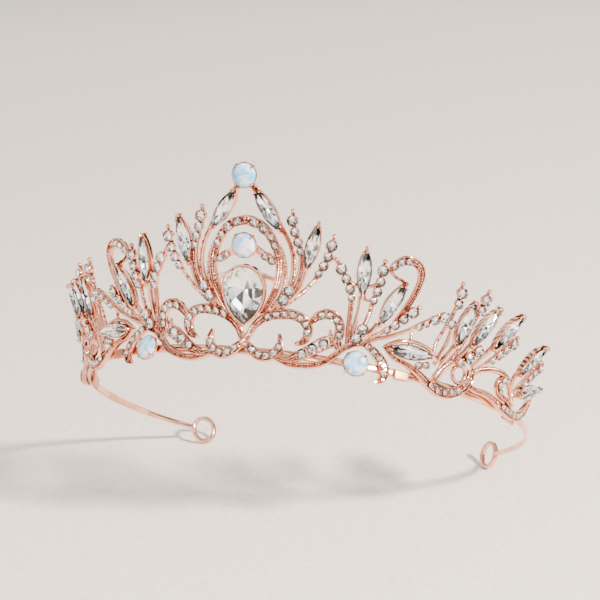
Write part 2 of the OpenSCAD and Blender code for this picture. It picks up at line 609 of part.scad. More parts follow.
headband();
centre_casting();
pear_cup();
pear_crystal();
apex_place() round_cup();  // cup_apex
apex_place() opal();  // opal_apex
centre_place() round_cup();  // cup_centre
centre_place() opal();  // opal_centre
rounds_centre();

for (s = [[-1, "left"], [1, "right"]]) {
    eye(s[0]);
    pad_mid(s[0]);
    pad_end(s[0]);
    side_casting(s[0]);
    outer_casting(s[0]);
    end_casting(s[0]);
    side_place(s[0]) round_cup();
    side_place(s[0]) opal();
    rounds_of(s[0], SIDE_STEMS, SIDE_CHANNELS);
    rounds_of(s[0], OUTER_STEMS, OUTER_CHANNELS);
    rounds_of(s[0], END_STEMS, END_CHANNELS);
    for (n = NAVETTES)
        on(s[0]) navette_crystal(n[1]);
}
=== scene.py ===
import logging
import math
from dataclasses import dataclass, field
from enum import Enum
from typing import Callable, Iterable, Sequence

import bmesh
import bpy
from mathutils import Matrix, Vector


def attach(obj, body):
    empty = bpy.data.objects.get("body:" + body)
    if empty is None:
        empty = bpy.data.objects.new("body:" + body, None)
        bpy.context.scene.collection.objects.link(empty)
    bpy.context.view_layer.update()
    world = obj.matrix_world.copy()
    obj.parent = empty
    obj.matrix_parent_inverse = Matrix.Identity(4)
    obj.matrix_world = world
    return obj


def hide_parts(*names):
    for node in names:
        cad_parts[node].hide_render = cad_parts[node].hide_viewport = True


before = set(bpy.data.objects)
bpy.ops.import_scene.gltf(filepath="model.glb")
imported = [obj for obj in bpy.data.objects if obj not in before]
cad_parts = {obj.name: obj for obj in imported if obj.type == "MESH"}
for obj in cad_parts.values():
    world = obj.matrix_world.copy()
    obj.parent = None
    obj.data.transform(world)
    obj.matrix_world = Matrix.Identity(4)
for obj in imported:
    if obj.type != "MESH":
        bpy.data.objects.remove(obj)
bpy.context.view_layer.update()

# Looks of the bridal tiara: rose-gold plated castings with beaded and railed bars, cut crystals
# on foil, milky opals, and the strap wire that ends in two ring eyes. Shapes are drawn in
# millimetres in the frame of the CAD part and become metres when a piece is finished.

log = logging.getLogger("tiara")

MM = 0.001            # one millimetre, in metres
WELD = 1e-4           # corners closer than this, in millimetres, become one
SIDES = ((-1, "left"), (1, "right"))
Point = tuple[float, float]
Stroke = tuple[tuple[float, float, float], ...]
Tree = bpy.types.NodeTree
Socket = bpy.types.NodeSocket
Mesh = bpy.types.Mesh
BMesh = bmesh.types.BMesh


# ---------- finishes ----------

def linear(hex_code: str) -> tuple[float, float, float, float]:
    """Turn an sRGB hex colour into the linear colour that a shader takes.

    Args:
        hex_code: Colour such as "#e8a890".

    Returns:
        Linear red, green, blue and an alpha of one.
    """
    parts = [int(hex_code[i:i + 2], 16) / 255 for i in (1, 3, 5)]
    return tuple(p / 12.92 if p <= 0.04045 else ((p + 0.055) / 1.055) ** 2.4
                 for p in parts) + (1.0,)


def add_node(tree: Tree, kind: str, settings: dict | None = None,
             links: dict | None = None, **options) -> bpy.types.Node:
    """Add a shader node with its settings and links.

    Args:
        tree: Node tree that takes the node.
        kind: Blender's type name of the node.
        settings: Socket name or number to its value.
        links: Socket name or number to the output that feeds it.
        **options: Attributes of the node itself.

    Returns:
        The new node.
    """
    made = tree.nodes.new(kind)
    for key, value in options.items():
        setattr(made, key, value)
    for key, value in (settings or {}).items():
        made.inputs[key].default_value = value
    for key, output in (links or {}).items():
        tree.links.new(output, made.inputs[key])
    return made


def ramp(tree: Tree, factor: Socket,
         stops: Sequence[tuple[float, str]]) -> Socket:
    """Add a colour ramp.

    Args:
        tree: Node tree that takes the ramp.
        factor: Output that drives it.
        stops: Position and hex colour of each stop, in order.

    Returns:
        The ramp's colour output.
    """
    made = add_node(tree, "ShaderNodeValToRGB", links={"Fac": factor})
    elements = made.color_ramp.elements
    for element, (place, code) in zip(elements, (stops[0], stops[-1])):
        element.position, element.color = place, linear(code)
    for place, code in stops[1:-1]:
        elements.new(place).color = linear(code)
    return made.outputs["Color"]


def per_mm(size_mm: float) -> float:
    """Return the texture scale whose features are size_mm across on Object coordinates."""
    return 1 / (size_mm * MM)


def noise(tree: Tree, place: Socket, size_mm: float, detail: float, **more: float) -> Socket:
    """Add cloudy noise.

    Args:
        tree: Node tree that takes it.
        place: Object coordinates.
        size_mm: Size of its features.
        detail: How many finer layers it has.
        **more: Other inputs of the node, such as Distortion.

    Returns:
        The noise's value.
    """
    return add_node(tree, "ShaderNodeTexNoise",
                    {"Scale": per_mm(size_mm), "Detail": detail, **more},
                    {"Vector": place}).outputs["Fac"]


def remap(tree: Tree, value: Socket, low: float, high: float, to_low: float = 0.0,
          to_high: float = 1.0, **options: str) -> Socket:
    """Map the range low to high of a value onto to_low to to_high.

    Args:
        tree: Node tree that takes the node.
        value: Output that is mapped.
        low: Start of its range.
        high: End of its range.
        to_low: What the start becomes.
        to_high: What the end becomes.
        **options: Attributes of the node itself.

    Returns:
        The mapped value.
    """
    return add_node(tree, "ShaderNodeMapRange",
                    {"From Min": low, "From Max": high, "To Min": to_low, "To Max": to_high},
                    {"Value": value}, **options).outputs["Result"]


def principled(tree: Tree, settings: dict, links: dict) -> Socket:
    """Add the general surface shader with its settings and links, and return its output."""
    return add_node(tree, "ShaderNodeBsdfPrincipled", settings, links).outputs["BSDF"]


@dataclass(frozen=True)
class Finish:
    """A surface finish that builds its own material.

    Attributes:
        name: Name of the material, after the real finish.
    """

    name: str

    def material(self) -> bpy.types.Material:
        """Return the finish's material, made the first time it is asked for.

        Returns:
            The material.
        """
        found = bpy.data.materials.get(self.name)
        if found:
            return found
        made = bpy.data.materials.new(self.name)
        made.use_nodes = True
        tree = made.node_tree
        tree.nodes.clear()
        place = add_node(tree, "ShaderNodeTexCoord").outputs["Object"]
        shader = self.surface(tree, place)
        add_node(tree, "ShaderNodeOutputMaterial", links={"Surface": shader})
        return made

    def surface(self, tree: Tree, place: Socket) -> Socket:
        """Build the finish's shader and return its output.

        Args:
            tree: The material's node tree.
            place: Object coordinates.

        Returns:
            Shader output.
        """
        raise NotImplementedError


@dataclass(frozen=True)
class RosePlate(Finish):
    """Zinc casting or wire, tumbled bright and plated with rose gold.

    The plating is a warm pink metal. The cast skin under it leaves faint dimples and streaks of
    duller shine, and the plating is a little redder where it is thin. Crevices carry painted
    shade: a dark red-brown multiplied into the colour where nearby metal closes round a spot.

    Attributes:
        bright: Colour of the full plating.
        thin: Colour where the plating is thin.
        dimple_mm: Size of the cast skin's dimples.
        dimple_depth_mm: Their depth.
        drift_mm: Distance over which the colour drifts.
        crevice_shade: Colour of the painted shade that darkens the crevices.
        crevice_shade_mm: Distance within which nearby metal darkens a spot with painted shade.
        shine: Roughness of the brightest and of the dullest places.
        streak_mm: Width of the streaks of duller shine.
    """

    bright: str = "#f8bfa3"
    thin: str = "#e39a77"
    dimple_mm: float = 0.5
    dimple_depth_mm: float = 0.02
    drift_mm: float = 6.0
    crevice_shade: str = "#9a4526"
    crevice_shade_mm: float = 1.2
    shine: Point = (0.06, 0.18)
    streak_mm: float = 1.6

    def surface(self, tree: Tree, place: Socket) -> Socket:
        """Build the plated metal: colour drift, painted shade in crevices, uneven shine and cast
        dimples.

        Args:
            tree: The material's node tree.
            place: Object coordinates.

        Returns:
            Shader output.
        """
        plate = ramp(tree, noise(tree, place, self.drift_mm, 3.0),
                     [(0.36, self.thin), (0.56, self.bright)])
        # Painted shade: an occlusion mask multiplies a dark red-brown into the colour in crevices.
        crevice_shade_mask = add_node(tree, "ShaderNodeAmbientOcclusion", {"Distance": self.crevice_shade_mm * MM},
                        samples=8).outputs["AO"]
        crevice_shade = ramp(tree, crevice_shade_mask, [(0.15, self.crevice_shade), (0.8, "#ffffff")])
        colour = add_node(tree, "ShaderNodeMix", {0: 1.0}, {6: plate, 7: crevice_shade},
                          data_type="RGBA", blend_type="MULTIPLY").outputs[2]
        streaks = noise(tree, place, self.streak_mm, 4.0, Distortion=1.2)
        dimples = add_node(tree, "ShaderNodeBump",
                           {"Strength": 0.35, "Distance": self.dimple_depth_mm * MM},
                           {"Height": noise(tree, place, self.dimple_mm, 2.0)})
        return principled(tree, {"Metallic": 1.0},
                          {"Base Color": colour,
                           "Roughness": remap(tree, streaks, 0.35, 0.68, *self.shine),
                           "Normal": dimples.outputs["Normal"]})


@dataclass(frozen=True)
class CutCrystal(Finish):
    """Colourless lead-free crystal glass, cut and polished.

    It is clear, with sharp facets. Faint smears from handling dull it here and there.

    Attributes:
        clear: Colour of clean glass.
        smear: Colour under a smear.
        smear_mm: Size of a smear.
        index: Refractive index of the glass.
    """

    clear: str = "#ffffff"
    smear: str = "#f3efe9"
    smear_mm: float = 3.0
    index: float = 1.56

    def surface(self, tree: Tree, place: Socket) -> Socket:
        """Build clear glass whose polish is a little uneven.

        Args:
            tree: The material's node tree.
            place: Object coordinates.

        Returns:
            Shader output.
        """
        smears = noise(tree, place, self.smear_mm, 3.0)
        return principled(tree, {"Transmission Weight": 1.0, "IOR": self.index}, {
            "Base Color": ramp(tree, smears, [(0.4, self.clear), (0.7, self.smear)]),
            "Roughness": remap(tree, smears, 0.4, 0.75, 0.0, 0.05)})


@dataclass(frozen=True)
class StoneFoil(Finish):
    """Silver foil lacquered onto the back facets of a crystal.

    It throws light back through the stone. The lacquer leaves small changes of shine.

    Attributes:
        silver: Colour of clean foil.
        lacquer: Colour where the lacquer is thick.
        coat_mm: Distance over which the lacquer changes.
    """

    silver: str = "#ffffff"
    lacquer: str = "#f0ece4"
    coat_mm: float = 0.9

    def surface(self, tree: Tree, place: Socket) -> Socket:
        """Build mirror-bright foil with thick and thin lacquer.

        Args:
            tree: The material's node tree.
            place: Object coordinates.

        Returns:
            Shader output.
        """
        coat = noise(tree, place, self.coat_mm, 2.0)
        return principled(tree, {"Metallic": 1.0}, {
            "Base Color": ramp(tree, coat, [(0.4, self.silver), (0.7, self.lacquer)]),
            "Roughness": remap(tree, coat, 0.35, 0.7, 0.02, 0.06)})


@dataclass(frozen=True)
class MilkyOpal(Finish):
    """Opal glass: milky blue with flakes of pink and cream that show through its facets.

    Attributes:
        body: Colours from the blue ground to the palest milk.
        flakes: Colours of the flakes.
        flake_mm: Size of a flake.
        cloud_mm: Size of the clouds of milk.
        index: Refractive index of the glass.
    """

    body: tuple[str, str, str] = ("#69abd9", "#93c3e8", "#cfe4f2")
    flakes: tuple[str, str] = ("#f4d3c6", "#f6efdd")
    flake_mm: float = 1.5
    cloud_mm: float = 3.2
    index: float = 1.46

    def surface(self, tree: Tree, place: Socket) -> Socket:
        """Build milky glass with blotches of colour under a polished surface.

        Args:
            tree: The material's node tree.
            place: Object coordinates.

        Returns:
            Shader output.
        """
        cloud = noise(tree, place, self.cloud_mm, 2.0, Distortion=0.6)
        flake = add_node(tree, "ShaderNodeTexVoronoi", {"Scale": per_mm(self.flake_mm)},
                         {"Vector": place}, feature="SMOOTH_F1").outputs["Color"]
        chosen = add_node(tree, "ShaderNodeSeparateColor", links={"Color": flake}).outputs
        ground = ramp(tree, cloud, list(zip((0.34, 0.5, 0.66), self.body)))
        fire = ramp(tree, chosen["Green"], list(zip((0.3, 0.7), self.flakes)))
        shows = remap(tree, chosen["Red"], 0.5, 0.7, 0.0, 0.85)
        colour = add_node(tree, "ShaderNodeMix", links={0: shows, 6: ground, 7: fire},
                          data_type="RGBA").outputs[2]
        return principled(tree, {"IOR": self.index, "Subsurface Weight": 0.35,
                                 "Subsurface Scale": 1.2 * MM,
                                 "Subsurface Radius": (1.0, 0.9, 0.8)},
                          {"Base Color": colour,
                           "Roughness": remap(tree, cloud, 0.3, 0.7, 0.1, 0.25)})


@dataclass(frozen=True)
class PaleCard(Finish):
    """The stage's pale laid card, which is no part of the tiara.

    Attributes:
        light: Colour of the card.
        dark: Colour in its grain.
        grain_mm: Size of the grain.
        reach: Distances from the middle where the card starts and ends fading out, in metres.
    """

    light: str = "#fdebdb"
    dark: str = "#f3dfcd"
    grain_mm: float = 2.2
    reach: Point = (0.62, 0.85)

    def surface(self, tree: Tree, place: Socket) -> Socket:
        """Build matt card that is seen from its face only and fades out at its rim.

        Args:
            tree: The material's node tree.
            place: Object coordinates.

        Returns:
            Shader output.
        """
        grain = noise(tree, place, self.grain_mm, 5.0, Roughness=0.6)
        tooth = add_node(tree, "ShaderNodeBump", {"Strength": 0.25, "Distance": 0.3 * MM},
                         {"Height": grain}).outputs["Normal"]
        card = principled(tree, {"Roughness": 0.95, "Specular IOR Level": 0.1}, {
            "Base Color": ramp(tree, grain, [(0.35, self.dark), (0.6, self.light)]),
            "Normal": tooth})
        out = add_node(tree, "ShaderNodeVectorMath", links={0: place},
                       operation="LENGTH").outputs["Value"]
        fade = remap(tree, out, *self.reach, interpolation_type="SMOOTHSTEP")
        behind = add_node(tree, "ShaderNodeNewGeometry").outputs["Backfacing"]
        gone = add_node(tree, "ShaderNodeMath", links={0: fade, 1: behind},
                        operation="MAXIMUM").outputs["Value"]
        nothing = add_node(tree, "ShaderNodeBsdfTransparent").outputs["BSDF"]
        return add_node(tree, "ShaderNodeMixShader",
                        links={0: gone, 1: card, 2: nothing}).outputs["Shader"]


ROSE = RosePlate("rose_gold_plating")
# The grain of the beaded floors is really about 0.3 mm; it is drawn coarser so that it shows.
GRAINED = RosePlate("rose_gold_plating_beaded", bright="#ffd2ba", thin="#a04f30",
                    dimple_mm=0.6, dimple_depth_mm=0.2, drift_mm=0.9, shine=(0.1, 0.24))
STRAP = RosePlate("rose_gold_plated_wire", dimple_mm=1.1, dimple_depth_mm=0.01,
                  shine=(0.08, 0.2))
# Rougher, darker copy of the plating for the brazed plates: the rougher shine is theirs, and the
# darker colours are painted shade that tones down the key light's glare on them.
BRAZE_WITH_PAINTED_SHADE = RosePlate("rose_gold_plated_brazing", bright="#e9a988", thin="#d08560",
                   shine=(0.34, 0.48))
CRYSTAL = CutCrystal("cut_crystal_glass")
FOIL = StoneFoil("silver_stone_foil")
OPAL = MilkyOpal("milky_opal_glass")
CARD = PaleCard("pale_card")


# ---------- pieces and meshes ----------

def add_object(name: str, data: bpy.types.ID, place: Matrix | None = None) -> bpy.types.Object:
    """Put an object into the scene.

    Args:
        name: Name of the object.
        data: Its mesh, camera or lamp.
        place: Its place; without one it stays at the origin.

    Returns:
        The new object.
    """
    made = bpy.data.objects.new(name, data)
    if place is not None:
        made.matrix_world = place
    bpy.context.scene.collection.objects.link(made)
    return made


def settle(bm: BMesh, name: str, finishes: Sequence[Finish],
           sharp: float | None = 38.0) -> bpy.types.Object:
    """Finish a mesh drawn in millimetres as an object at the origin, in metres.

    Args:
        bm: The mesh, which is freed.
        name: Name of the piece.
        finishes: Finishes, in the order of the faces' material numbers.
        sharp: Edges that turn more than this many degrees stay sharp; None leaves all facets flat.

    Returns:
        The new object.
    """
    bmesh.ops.scale(bm, vec=(MM, MM, MM), verts=bm.verts)
    mesh = keep_shape(bm, name)
    for finish in finishes:
        mesh.materials.append(finish.material())
    if sharp is None:
        mesh.shade_flat()
    else:
        mesh.shade_smooth()
        mesh.set_sharp_from_angle(angle=math.radians(sharp))
    piece = add_object(name, mesh)
    log.info("%s: %d faces", name, len(mesh.polygons))
    return piece


def stand_for(piece: bpy.types.Object, slot: str, *nodes: str) -> None:
    """Let a piece ride on the tiara and hide the CAD nodes that it stands for.

    Args:
        piece: The finished piece.
        slot: Not used.
        *nodes: The CAD nodes that it replaces.
    """
    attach(piece, "root")
    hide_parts(*nodes)


def stamp(bm: BMesh, shape: Mesh, place: Matrix) -> None:
    """Copy a small shape into a mesh.

    Args:
        bm: Mesh that takes the copy.
        shape: The shape.
        place: Where the copy goes. A mirroring place has its faces turned outwards again.
    """
    known = len(bm.verts)
    known_faces = len(bm.faces)
    bm.from_mesh(shape)
    bm.verts.ensure_lookup_table()
    bmesh.ops.transform(bm, matrix=place, verts=bm.verts[known:])
    if place.determinant() < 0:
        bm.faces.ensure_lookup_table()
        bmesh.ops.reverse_faces(bm, faces=bm.faces[known_faces:])


def keep_shape(bm: BMesh, name: str) -> Mesh:
    """Store a shape as a mesh.

    Args:
        bm: The shape, which is freed.
        name: Name of the mesh.

    Returns:
        The mesh.
    """
    mesh = bpy.data.meshes.new(name)
    bm.to_mesh(mesh)
    bm.free()
    return mesh


def mirror(sign: int) -> Matrix:
    """Return the matrix that swaps left and right when sign is -1."""
    return Matrix.Diagonal((sign, 1, 1, 1))


def about_z(degrees: float) -> Matrix:
    """Return a turn about the Z axis."""
    return Matrix.Rotation(math.radians(degrees), 4, "Z")


def facing(middle: Vector, x: Vector, z: Vector) -> Matrix:
    """Return the frame at middle with its X and Z along two unit vectors at right angles."""
    return Matrix.Translation(middle) @ Matrix((x, z.cross(x), z)).transposed().to_4x4()


def cad_mesh(node: str) -> BMesh:
    """Copy the mesh of a CAD node, in millimetres and with its shared corners merged.

    Args:
        node: Name of the CAD node.

    Returns:
        The copy, which the caller frees.
    """
    bm = bmesh.new()
    bm.from_mesh(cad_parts[node].data)
    bmesh.ops.scale(bm, vec=(1 / MM,) * 3, verts=bm.verts)
    bmesh.ops.remove_doubles(bm, verts=bm.verts, dist=WELD)
    return bm


def spin_profile(bm: BMesh, profile: Sequence[Point], steps: int, closed: bool = True) -> None:
    """Turn a profile about the Z axis of an empty mesh.

    Args:
        bm: Mesh that takes the turned shape.
        profile: Radius and height of its points.
        steps: Number of sides round the axis.
        closed: Whether the last point joins the first.
    """
    verts = [bm.verts.new((r, 0, z)) for r, z in profile]
    edges = [bm.edges.new(pair) for pair in zip(verts, verts[1:])]
    if closed:
        edges.append(bm.edges.new((verts[-1], verts[0])))
    bmesh.ops.spin(bm, geom=verts + edges, cent=(0, 0, 0), axis=(0, 0, 1), dvec=(0, 0, 0),
                   angle=math.tau, steps=steps, use_merge=True, use_duplicate=False)
    bmesh.ops.remove_doubles(bm, verts=bm.verts, dist=WELD)
    bmesh.ops.recalc_face_normals(bm, faces=bm.faces)


@dataclass(frozen=True)
class Ring:
    """One cross-section of a swept bar.

    Attributes:
        centre: Middle of the section.
        side: Direction across the bar.
        out: Direction out of the bar's front.
        width: Width of the bar here.
        run: Distance from the bar's start.
    """

    centre: Vector
    side: Vector
    out: Vector
    width: float
    run: float


Section = Callable[[Ring], list[Point]]
OUT = Vector((0, 0, 1))


def ring_at(place: Matrix, centre: Vector, side: Vector, out: Vector, width: float) -> Ring:
    """Return the cross-section whose centre, side and out are given in the frame of place."""
    turn = place.to_3x3()
    return Ring(place @ centre, turn @ side, turn @ out, width, 0)


def rim_rings(place: Matrix, outline: Sequence[Point], width: float) -> list[Ring]:
    """Return the cross-sections of a rim that follows a stone's outline.

    Args:
        place: Frame of the stone.
        outline: Points round the stone.
        width: Width of the rim.

    Returns:
        A cross-section at each point.
    """
    points = [Vector((x, y, 0)) for x, y in outline]
    rings = []
    for i, point in enumerate(points):
        along = points[(i + 1) % len(points)] - points[i - 1]
        side = Vector((along.y, -along.x, 0)).normalized()
        rings.append(ring_at(place, point, side, OUT, width))
    return rings


def oval(across: float, out: float, sides: int = 8, start: float = 0.0) -> list[Point]:
    """Return an oval outline with half axes across and out, from start in radians."""
    return [(across * math.cos(a), out * math.sin(a))
            for a in (math.tau * i / sides + start for i in range(sides))]


def sweep(bm: BMesh, section: Section, rings: Sequence[Ring],
          closed: bool = False, grained: Sequence[int] = ()) -> None:
    """Skin a bar over its cross-sections.

    A flat grid is wrapped round the sections, its seam is merged, and its ends are filled.

    Args:
        bm: Mesh that takes the bar.
        section: Gives the outline of the bar at a ring, across and out, in millimetres.
        rings: The cross-sections in order.
        closed: Whether the last ring joins the first.
        grained: Sides of the outline, counted from its first point, that take finish 1.
    """
    part = bmesh.new()
    outlines = [section(r) for r in rings]
    sides, steps = len(outlines[0]), len(rings) - (0 if closed else 1)
    bmesh.ops.create_grid(part, x_segments=sides, y_segments=steps, size=0.5)
    for face in part.faces:
        column = math.floor((face.calc_center_median().x + 0.5) * sides)
        face.material_index = 1 if column in grained else 0
    for vert in part.verts:
        column = round((vert.co.x + 0.5) * sides) % sides
        row = round((vert.co.y + 0.5) * steps) % len(rings)
        across, out = outlines[row][column]
        ring = rings[row]
        vert.co = ring.centre + ring.side * across + ring.out * out
    bmesh.ops.remove_doubles(part, verts=part.verts, dist=WELD)
    if not closed:
        bmesh.ops.holes_fill(part, edges=[e for e in part.edges if e.is_boundary], sides=0)
    bmesh.ops.recalc_face_normals(part, faces=part.faces)
    shape = keep_shape(part, "bar")
    bm.from_mesh(shape)
    bpy.data.meshes.remove(shape)


SAME_FACET = math.radians(0.5)   # greatest turn between two faces of one facet
BACKWARDS = -0.05     # a facet whose normal rises less than this faces back


def hull_gem(points: Iterable[Vector], girdle: float, name: str) -> Mesh:
    """Cut a stone whose facets are the hull of its corners.

    Args:
        points: The stone's corners.
        girdle: Height of its widest line; facets that face back below it carry the foil.
        name: Name of the shape.

    Returns:
        The stone, with crystal as material 0 and foil as material 1.
    """
    bm = bmesh.new()
    for point in points:
        bm.verts.new(point)
    bmesh.ops.convex_hull(bm, input=bm.verts)
    bmesh.ops.dissolve_limit(bm, angle_limit=SAME_FACET, verts=bm.verts, edges=bm.edges)
    bmesh.ops.recalc_face_normals(bm, faces=bm.faces)
    for face in bm.faces:
        low = face.calc_center_median().z < girdle
        face.material_index = 1 if low and face.normal.z < BACKWARDS else 0
    return keep_shape(bm, name)


def round_ring(count: int, radius: float, height: float, start: float = 0.0) -> list[Vector]:
    """Return count points round the Z axis, the first at start degrees."""
    angles = [math.radians(start) + math.tau * i / count for i in range(count)]
    return [Vector((radius * math.cos(a), radius * math.sin(a), height)) for a in angles]


# ---------- the crown's face ----------

@dataclass(frozen=True)
class CrownFace:
    """The flared face that the pattern lies on.

    A place is [u, v]: u runs round the headband from the middle of the front, and v runs up the
    face from the headband's centre line.

    Attributes:
        radius: Radius of the face at its foot.
        band_z: Height of the headband's centre line.
        foot: Height of the upright foot of the face.
        bend: Length of face over which it bends into its lean.
        lean_front: Outward lean at the front, in degrees.
        lean_loss: Lean lost between the front and the sides.
    """

    radius: float = 71.2562
    band_z: float = 4.6
    foot: float = 1.2
    bend: float = 8.0
    lean_front: float = 27.0
    lean_loss: float = 12.0

    def turn(self, u: float) -> float:
        """Return the angle from the front, in radians, at u."""
        return u / self.radius

    def place(self, u: float, v: float) -> Matrix:
        """Return the frame of the face at a place: X along it, Y up it and Z out of it.

        Args:
            u: Place round the headband.
            v: Place up the face.

        Returns:
            The frame, in millimetres.
        """
        turn = self.turn(u)
        full = math.radians(self.lean_front - self.lean_loss * (1 - math.cos(turn)))
        lean = full * min(1.0, max(0.0, (v - self.foot) / self.bend))
        bend_r, past = self.bend / full, max(0.0, v - self.foot - self.bend)
        out = bend_r * (1 - math.cos(lean)) + past * math.sin(full)
        up = v if v <= self.foot else (self.foot + bend_r * math.sin(lean)
                                       + past * math.cos(full))
        return (Matrix.Rotation(turn, 4, "Z")
                @ Matrix.Translation((0, -self.radius - out, self.band_z + up))
                @ Matrix.Rotation(lean + math.pi / 2, 4, "X"))


FACE = CrownFace()


# ---------- bars ----------

class Cut(Enum):
    """How a cast bar is worked."""

    ROD = "a smooth rod with a soft crest"
    ROPE = "a round bar with a rope of beads along it"
    TWIN = "a smooth rod beside a thin rope"
    CHANNEL = "two smooth rails with a beaded floor between them"


@dataclass(frozen=True)
class Bar:
    """One bar of the pattern.

    Attributes:
        cut: How it is worked.
        path: Its points, each u, v and width.
    """

    cut: Cut
    path: Stroke


HALF = 0.6            # half the thickness of a casting
BACK_SHARE = 0.8      # flat back of a round stone, as a share of its diameter
BEAD_PITCH = 0.8      # beads on the real ropes are finer than this: it is the finest that shows
BAR_PITCH = 0.8       # distance between the cross-sections of a smooth bar
THINNEST_BAR = 0.6    # least width of a bar
NARROW_CHANNEL = 1.5  # a narrower channel has no rope on its floor
SHORTEST_ROPE = 6     # cross-sections of the shortest rope on a channel's floor
STONE_ROOM = 0.25     # room between a stone in a channel and the rope that stops at it
OFF_LINE = 0.75       # farthest that the back of such a stone lies off the channel's middle line
FINE_PITCH = 0.1      # pitch at which the length of a path is measured
ROPE_SIDES = 10       # points of a rope's outline
FLOOR_SIDES = (7, 8, 9)      # sides of a channel's outline between its rails
ROD_OUTLINE = ((-0.8, -1), (0.8, -1), (1, -0.7), (1, 0.1), (0.78, 0.7), (0.3, 1), (-0.3, 1),
               (-0.78, 0.7), (-1, 0.1), (-1, -0.7))
RAIL = 0.42           # width of a channel's rail
RAIL_RISE = 0.28      # height of the rails above a smooth bar
FLOOR = 0.12          # height of a channel's floor above the middle of the casting


def rod_section(ring: Ring) -> list[Point]:
    """Outline of a smooth rod: flat behind, with a soft crest in front."""
    return [(x * (ring.width / 2), y * HALF) for x, y in ROD_OUTLINE]


def rope_section(ring: Ring) -> list[Point]:
    """Outline of a rope: round, with a deep groove between every two beads.

    Args:
        ring: The cross-section.

    Returns:
        Points of the outline, across and out.
    """
    groove = (0.5 + 0.5 * math.cos(math.tau * ring.run / BEAD_PITCH)) ** 1.5
    swell = 1.1 - 0.42 * groove
    return oval(ring.width / 2 * swell, 0.56 * swell, ROPE_SIDES, -math.pi / 2)


def channel_section(ring: Ring) -> list[Point]:
    """Outline of a channel: two rounded rails that stand up from a sunk floor.

    Args:
        ring: The cross-section.

    Returns:
        Points of the outline, across and out.
    """
    w = ring.width / 2
    rail = min(RAIL, RAIL * w)
    top = HALF + RAIL_RISE
    right = [(w - 0.1, -HALF), (w, -HALF + 0.15), (w, top - 0.22),
             (w - 0.1 * rail / RAIL, top - 0.05), (w - rail / 2, top),
             (w - rail * 0.86, top - 0.08), (w - rail, top - 0.3), (w - rail, FLOOR)]
    left = [(-x, y) for x, y in reversed(right)]
    return left[-1:] + right + left[:-1]


def shifted(section: Section, share: float, scale: float, lift: float = 0.0) -> Section:
    """Return a section moved across the bar.

    Args:
        section: The section to move.
        share: How far, as a share of the bar's width.
        scale: Width of the moved section as a share of the bar's.
        lift: How far it is moved out of the face.

    Returns:
        The moved section.
    """
    def moved(ring: Ring) -> list[Point]:
        """Outline of the moved section."""
        narrow = Ring(ring.centre, ring.side, ring.out, ring.width * scale, ring.run)
        return [(x + ring.width * share, y + lift) for x, y in section(narrow)]
    return moved


def between(a: Sequence[float], b: Sequence[float], c: Sequence[float], d: Sequence[float],
            t: float) -> tuple[float, ...]:
    """Return the point a share t of the way from b to c on a smooth curve through all four.

    Args:
        a: Point before b.
        b: Point where the curve starts.
        c: Point where it ends.
        d: Point after c.
        t: Share of the way from b to c.

    Returns:
        The point.
    """
    return tuple(0.5 * (2 * q + (r - p) * t + (2 * p - 5 * q + 4 * r - s) * t * t
                        + (3 * q - p - 3 * r + s) * t ** 3)
                 for p, q, r, s in zip(a, b, c, d))


def smooth(path: Stroke, pitch: float) -> list[tuple[float, ...]]:
    """Return points about pitch apart on the smooth curve through a path.

    Args:
        path: The points that the curve passes through.
        pitch: Distance between points.

    Returns:
        Points of the curve, each u, v and width.
    """
    last = len(path) - 1
    points = []
    for i in range(last):
        steps = max(1, round(math.dist(path[i][:2], path[i + 1][:2]) / pitch))
        for k in range(steps):
            points.append(between(path[max(i - 1, 0)], path[i], path[i + 1],
                                  path[min(i + 2, last)], k / steps))
    return points + [path[last]]


def evenly(path: Stroke, pitch: float) -> list[tuple[float, ...]]:
    """Return points exactly pitch apart, as measured on the crown's face.

    Args:
        path: The points that the curve passes through.
        pitch: Distance between points.

    Returns:
        Points of the curve, each u, v and width.
    """
    fine = smooth(path, FINE_PITCH)
    spots = [FACE.place(u, v).to_translation() for u, v, _ in fine]
    points, run, due = [], 0.0, 0.0
    for i in range(1, len(fine)):
        step = (spots[i] - spots[i - 1]).length
        while due <= run + step:
            share = (due - run) / step
            points.append(tuple(a + (b - a) * share for a, b in zip(fine[i - 1], fine[i])))
            due += pitch
        run += step
    return points


def rings_along(path: Stroke, pitch: float, even: bool = False) -> list[Ring]:
    """Return the cross-sections of a bar.

    Args:
        path: The bar's path on the crown's face.
        pitch: Distance between sections.
        even: Whether they are exactly that far apart, as a beaded rope needs.

    Returns:
        The cross-sections in order.
    """
    places = evenly(path, pitch) if even else smooth(path, pitch)
    frames = [FACE.place(u, v) for u, v, _ in places]
    centres = [f.to_translation() for f in frames]
    last, run, rings = len(places) - 1, 0.0, []
    for i, (_, _, width) in enumerate(places):
        along = centres[min(i + 1, last)] - centres[max(i - 1, 0)]
        out = frames[i].to_3x3().col[2].normalized()
        if i:
            run = i * pitch if even else run + (centres[i] - centres[i - 1]).length
        rings.append(Ring(centres[i], out.cross(along).normalized(), out,
                          max(THINNEST_BAR, width), run))
    return rings


# ---------- stones that the CAD part holds ----------

@dataclass(frozen=True)
class Stone:
    """A round stone of a CAD node.

    Attributes:
        back: Middle of its flat back.
        axis: Direction that it faces.
        across: Its diameter.
        row: Direction to its nearest neighbour.
    """

    back: Vector
    axis: Vector
    across: float
    row: Vector

    def place(self, turn: float = 0.0) -> Matrix:
        """Return its frame: Z out of the stone and X along its row.

        Args:
            turn: Degrees by which it is turned about Z.

        Returns:
            The frame of its flat back.
        """
        x = (self.row - self.axis * self.row.dot(self.axis)).normalized()
        return facing(self.back, x, self.axis) @ about_z(turn)

    def back_on(self, sign: int) -> Vector:
        """Return the middle of its back, mirrored when sign is -1."""
        return mirror(sign) @ self.back


